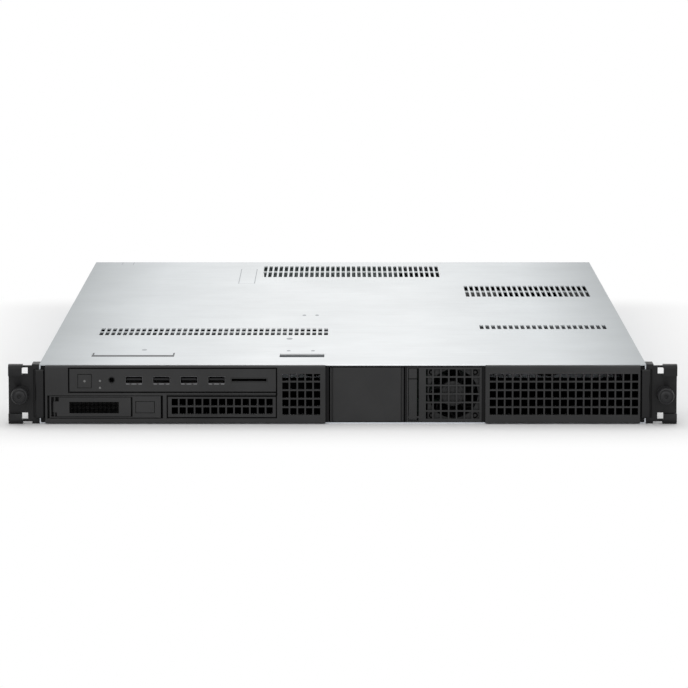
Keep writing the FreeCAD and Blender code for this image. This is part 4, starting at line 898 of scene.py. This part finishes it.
def placeCamera():
    look = cameraLook
    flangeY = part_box("left_ear")[0].y + look["earToFlange"]
    camera = bpy.data.objects.new("camera", bpy.data.cameras.new("camera"))
    bpy.context.collection.objects.link(camera)
    camera.location = (0, flangeY - look["distance"], look["height"])
    camera.rotation_euler = (math.radians(90 - look["pitch"]), 0, 0)
    camera.data.lens = look["lens"]
    camera.data.sensor_width = look["sensor"]
    camera.data.shift_x = look["shift"]
    camera.data.clip_start = look["near"]
    camera.data.clip_end = look["far"]
    bpy.context.scene.camera = camera


floorLook = {"size": 12.0, "tint": (0.93, 0.93, 0.93), "rough": 0.7, "near": 0.0, "far": 0.11}


def layFloor():
    # lit and shadowed round the server, plain white to the eye farther out
    look = floorLook
    mesh = shape()
    bmesh.ops.create_grid(mesh, x_segments=1, y_segments=1, size=look["size"] / 2)
    data = bpy.data.meshes.new("floor")
    mesh.to_mesh(data)
    mesh.free()
    floor = bpy.data.objects.new("floor", data)
    bpy.context.collection.objects.link(floor)
    finish, tree, shader = newFinish("floorPaint")
    shader.inputs["Base Color"].default_value = (*look["tint"], 1)
    shader.inputs["Roughness"].default_value = look["rough"]
    axes = objectAxes(tree)
    outside = []
    for axis, reach in (("X", cadHigh[0]), ("Y", cadHigh[1])):
        beyond = compute(tree, "SUBTRACT", compute(tree, "ABSOLUTE", axes[axis]), reach)
        outside.append(compute(tree, "POWER", compute(tree, "MAXIMUM", beyond, 0.0), 2.0))
    away = tree.nodes.new("ShaderNodeMapRange")
    away.interpolation_type = "SMOOTHSTEP"
    away.inputs["From Min"].default_value = look["near"]
    away.inputs["From Max"].default_value = look["far"]
    tree.links.new(compute(tree, "SQRT", compute(tree, "ADD", *outside)), away.inputs["Value"])
    share = compute(tree, "MULTIPLY", away.outputs["Result"], seenDirectly(tree))
    white = tree.nodes.new("ShaderNodeEmission")
    mix = tree.nodes.new("ShaderNodeMixShader")
    tree.links.new(share, mix.inputs[0])
    tree.links.new(shader.outputs[0], mix.inputs[1])
    tree.links.new(white.outputs[0], mix.inputs[2])
    tree.links.new(mix.outputs[0], tree.nodes["Material Output"].inputs["Surface"])
    data.materials.append(finish)


def seenDirectly(tree):
    # 1 for what the camera sees, itself or in a reflection or through glass
    path = tree.nodes.new("ShaderNodeLightPath")
    value = path.outputs["Is Camera Ray"]
    for ray in ("Is Glossy Ray", "Is Transmission Ray"):
        value = compute(tree, "MAXIMUM", value, path.outputs[ray])
    return value


# strength of the plain world light, and place, size and watts of each square lamp
lightSettings = {
    "world": 0.55, "aim": (0, -0.1, 0.03),
    "lamps": {"overhead": ((0, 0.2, 2.2), 2.6, 20), "front": ((-0.9, -2.6, 1.3), 1.6, 14),
              "frontRight": ((1.2, -2.4, 1.0), 1.4, 8)},
}


def lightScene():
    look = lightSettings
    world = bpy.data.worlds.new("studio")
    bpy.context.scene.world = world
    world.use_nodes = True
    tree = world.node_tree
    plain = tree.nodes["Background"]
    plain.inputs["Color"].default_value = (1, 1, 1, 1)
    plain.inputs["Strength"].default_value = look["world"]
    bright = tree.nodes.new("ShaderNodeBackground")
    bright.inputs["Color"].default_value = (1, 1, 1, 1)
    bright.inputs["Strength"].default_value = 1.0
    mix = tree.nodes.new("ShaderNodeMixShader")
    tree.links.new(seenDirectly(tree), mix.inputs[0])
    tree.links.new(plain.outputs[0], mix.inputs[1])
    tree.links.new(bright.outputs[0], mix.inputs[2])
    tree.links.new(mix.outputs[0], tree.nodes["World Output"].inputs[0])
    for name, (place, size, power) in look["lamps"].items():
        lamp = bpy.data.lights.new(name, "AREA")
        lamp.shape = "SQUARE"
        lamp.size = size
        lamp.energy = power
        holder = bpy.data.objects.new(name, lamp)
        bpy.context.collection.objects.link(holder)
        holder.location = place
        aim = Vector(look["aim"]) - Vector(place)
        holder.rotation_euler = aim.to_track_quat("-Z", "Y").to_euler()


placeCamera()
layFloor()
lightScene()
bpy.context.scene.view_settings.view_transform = "Standard"
print("stage: camera, floor and light placed")

print("stage: done")
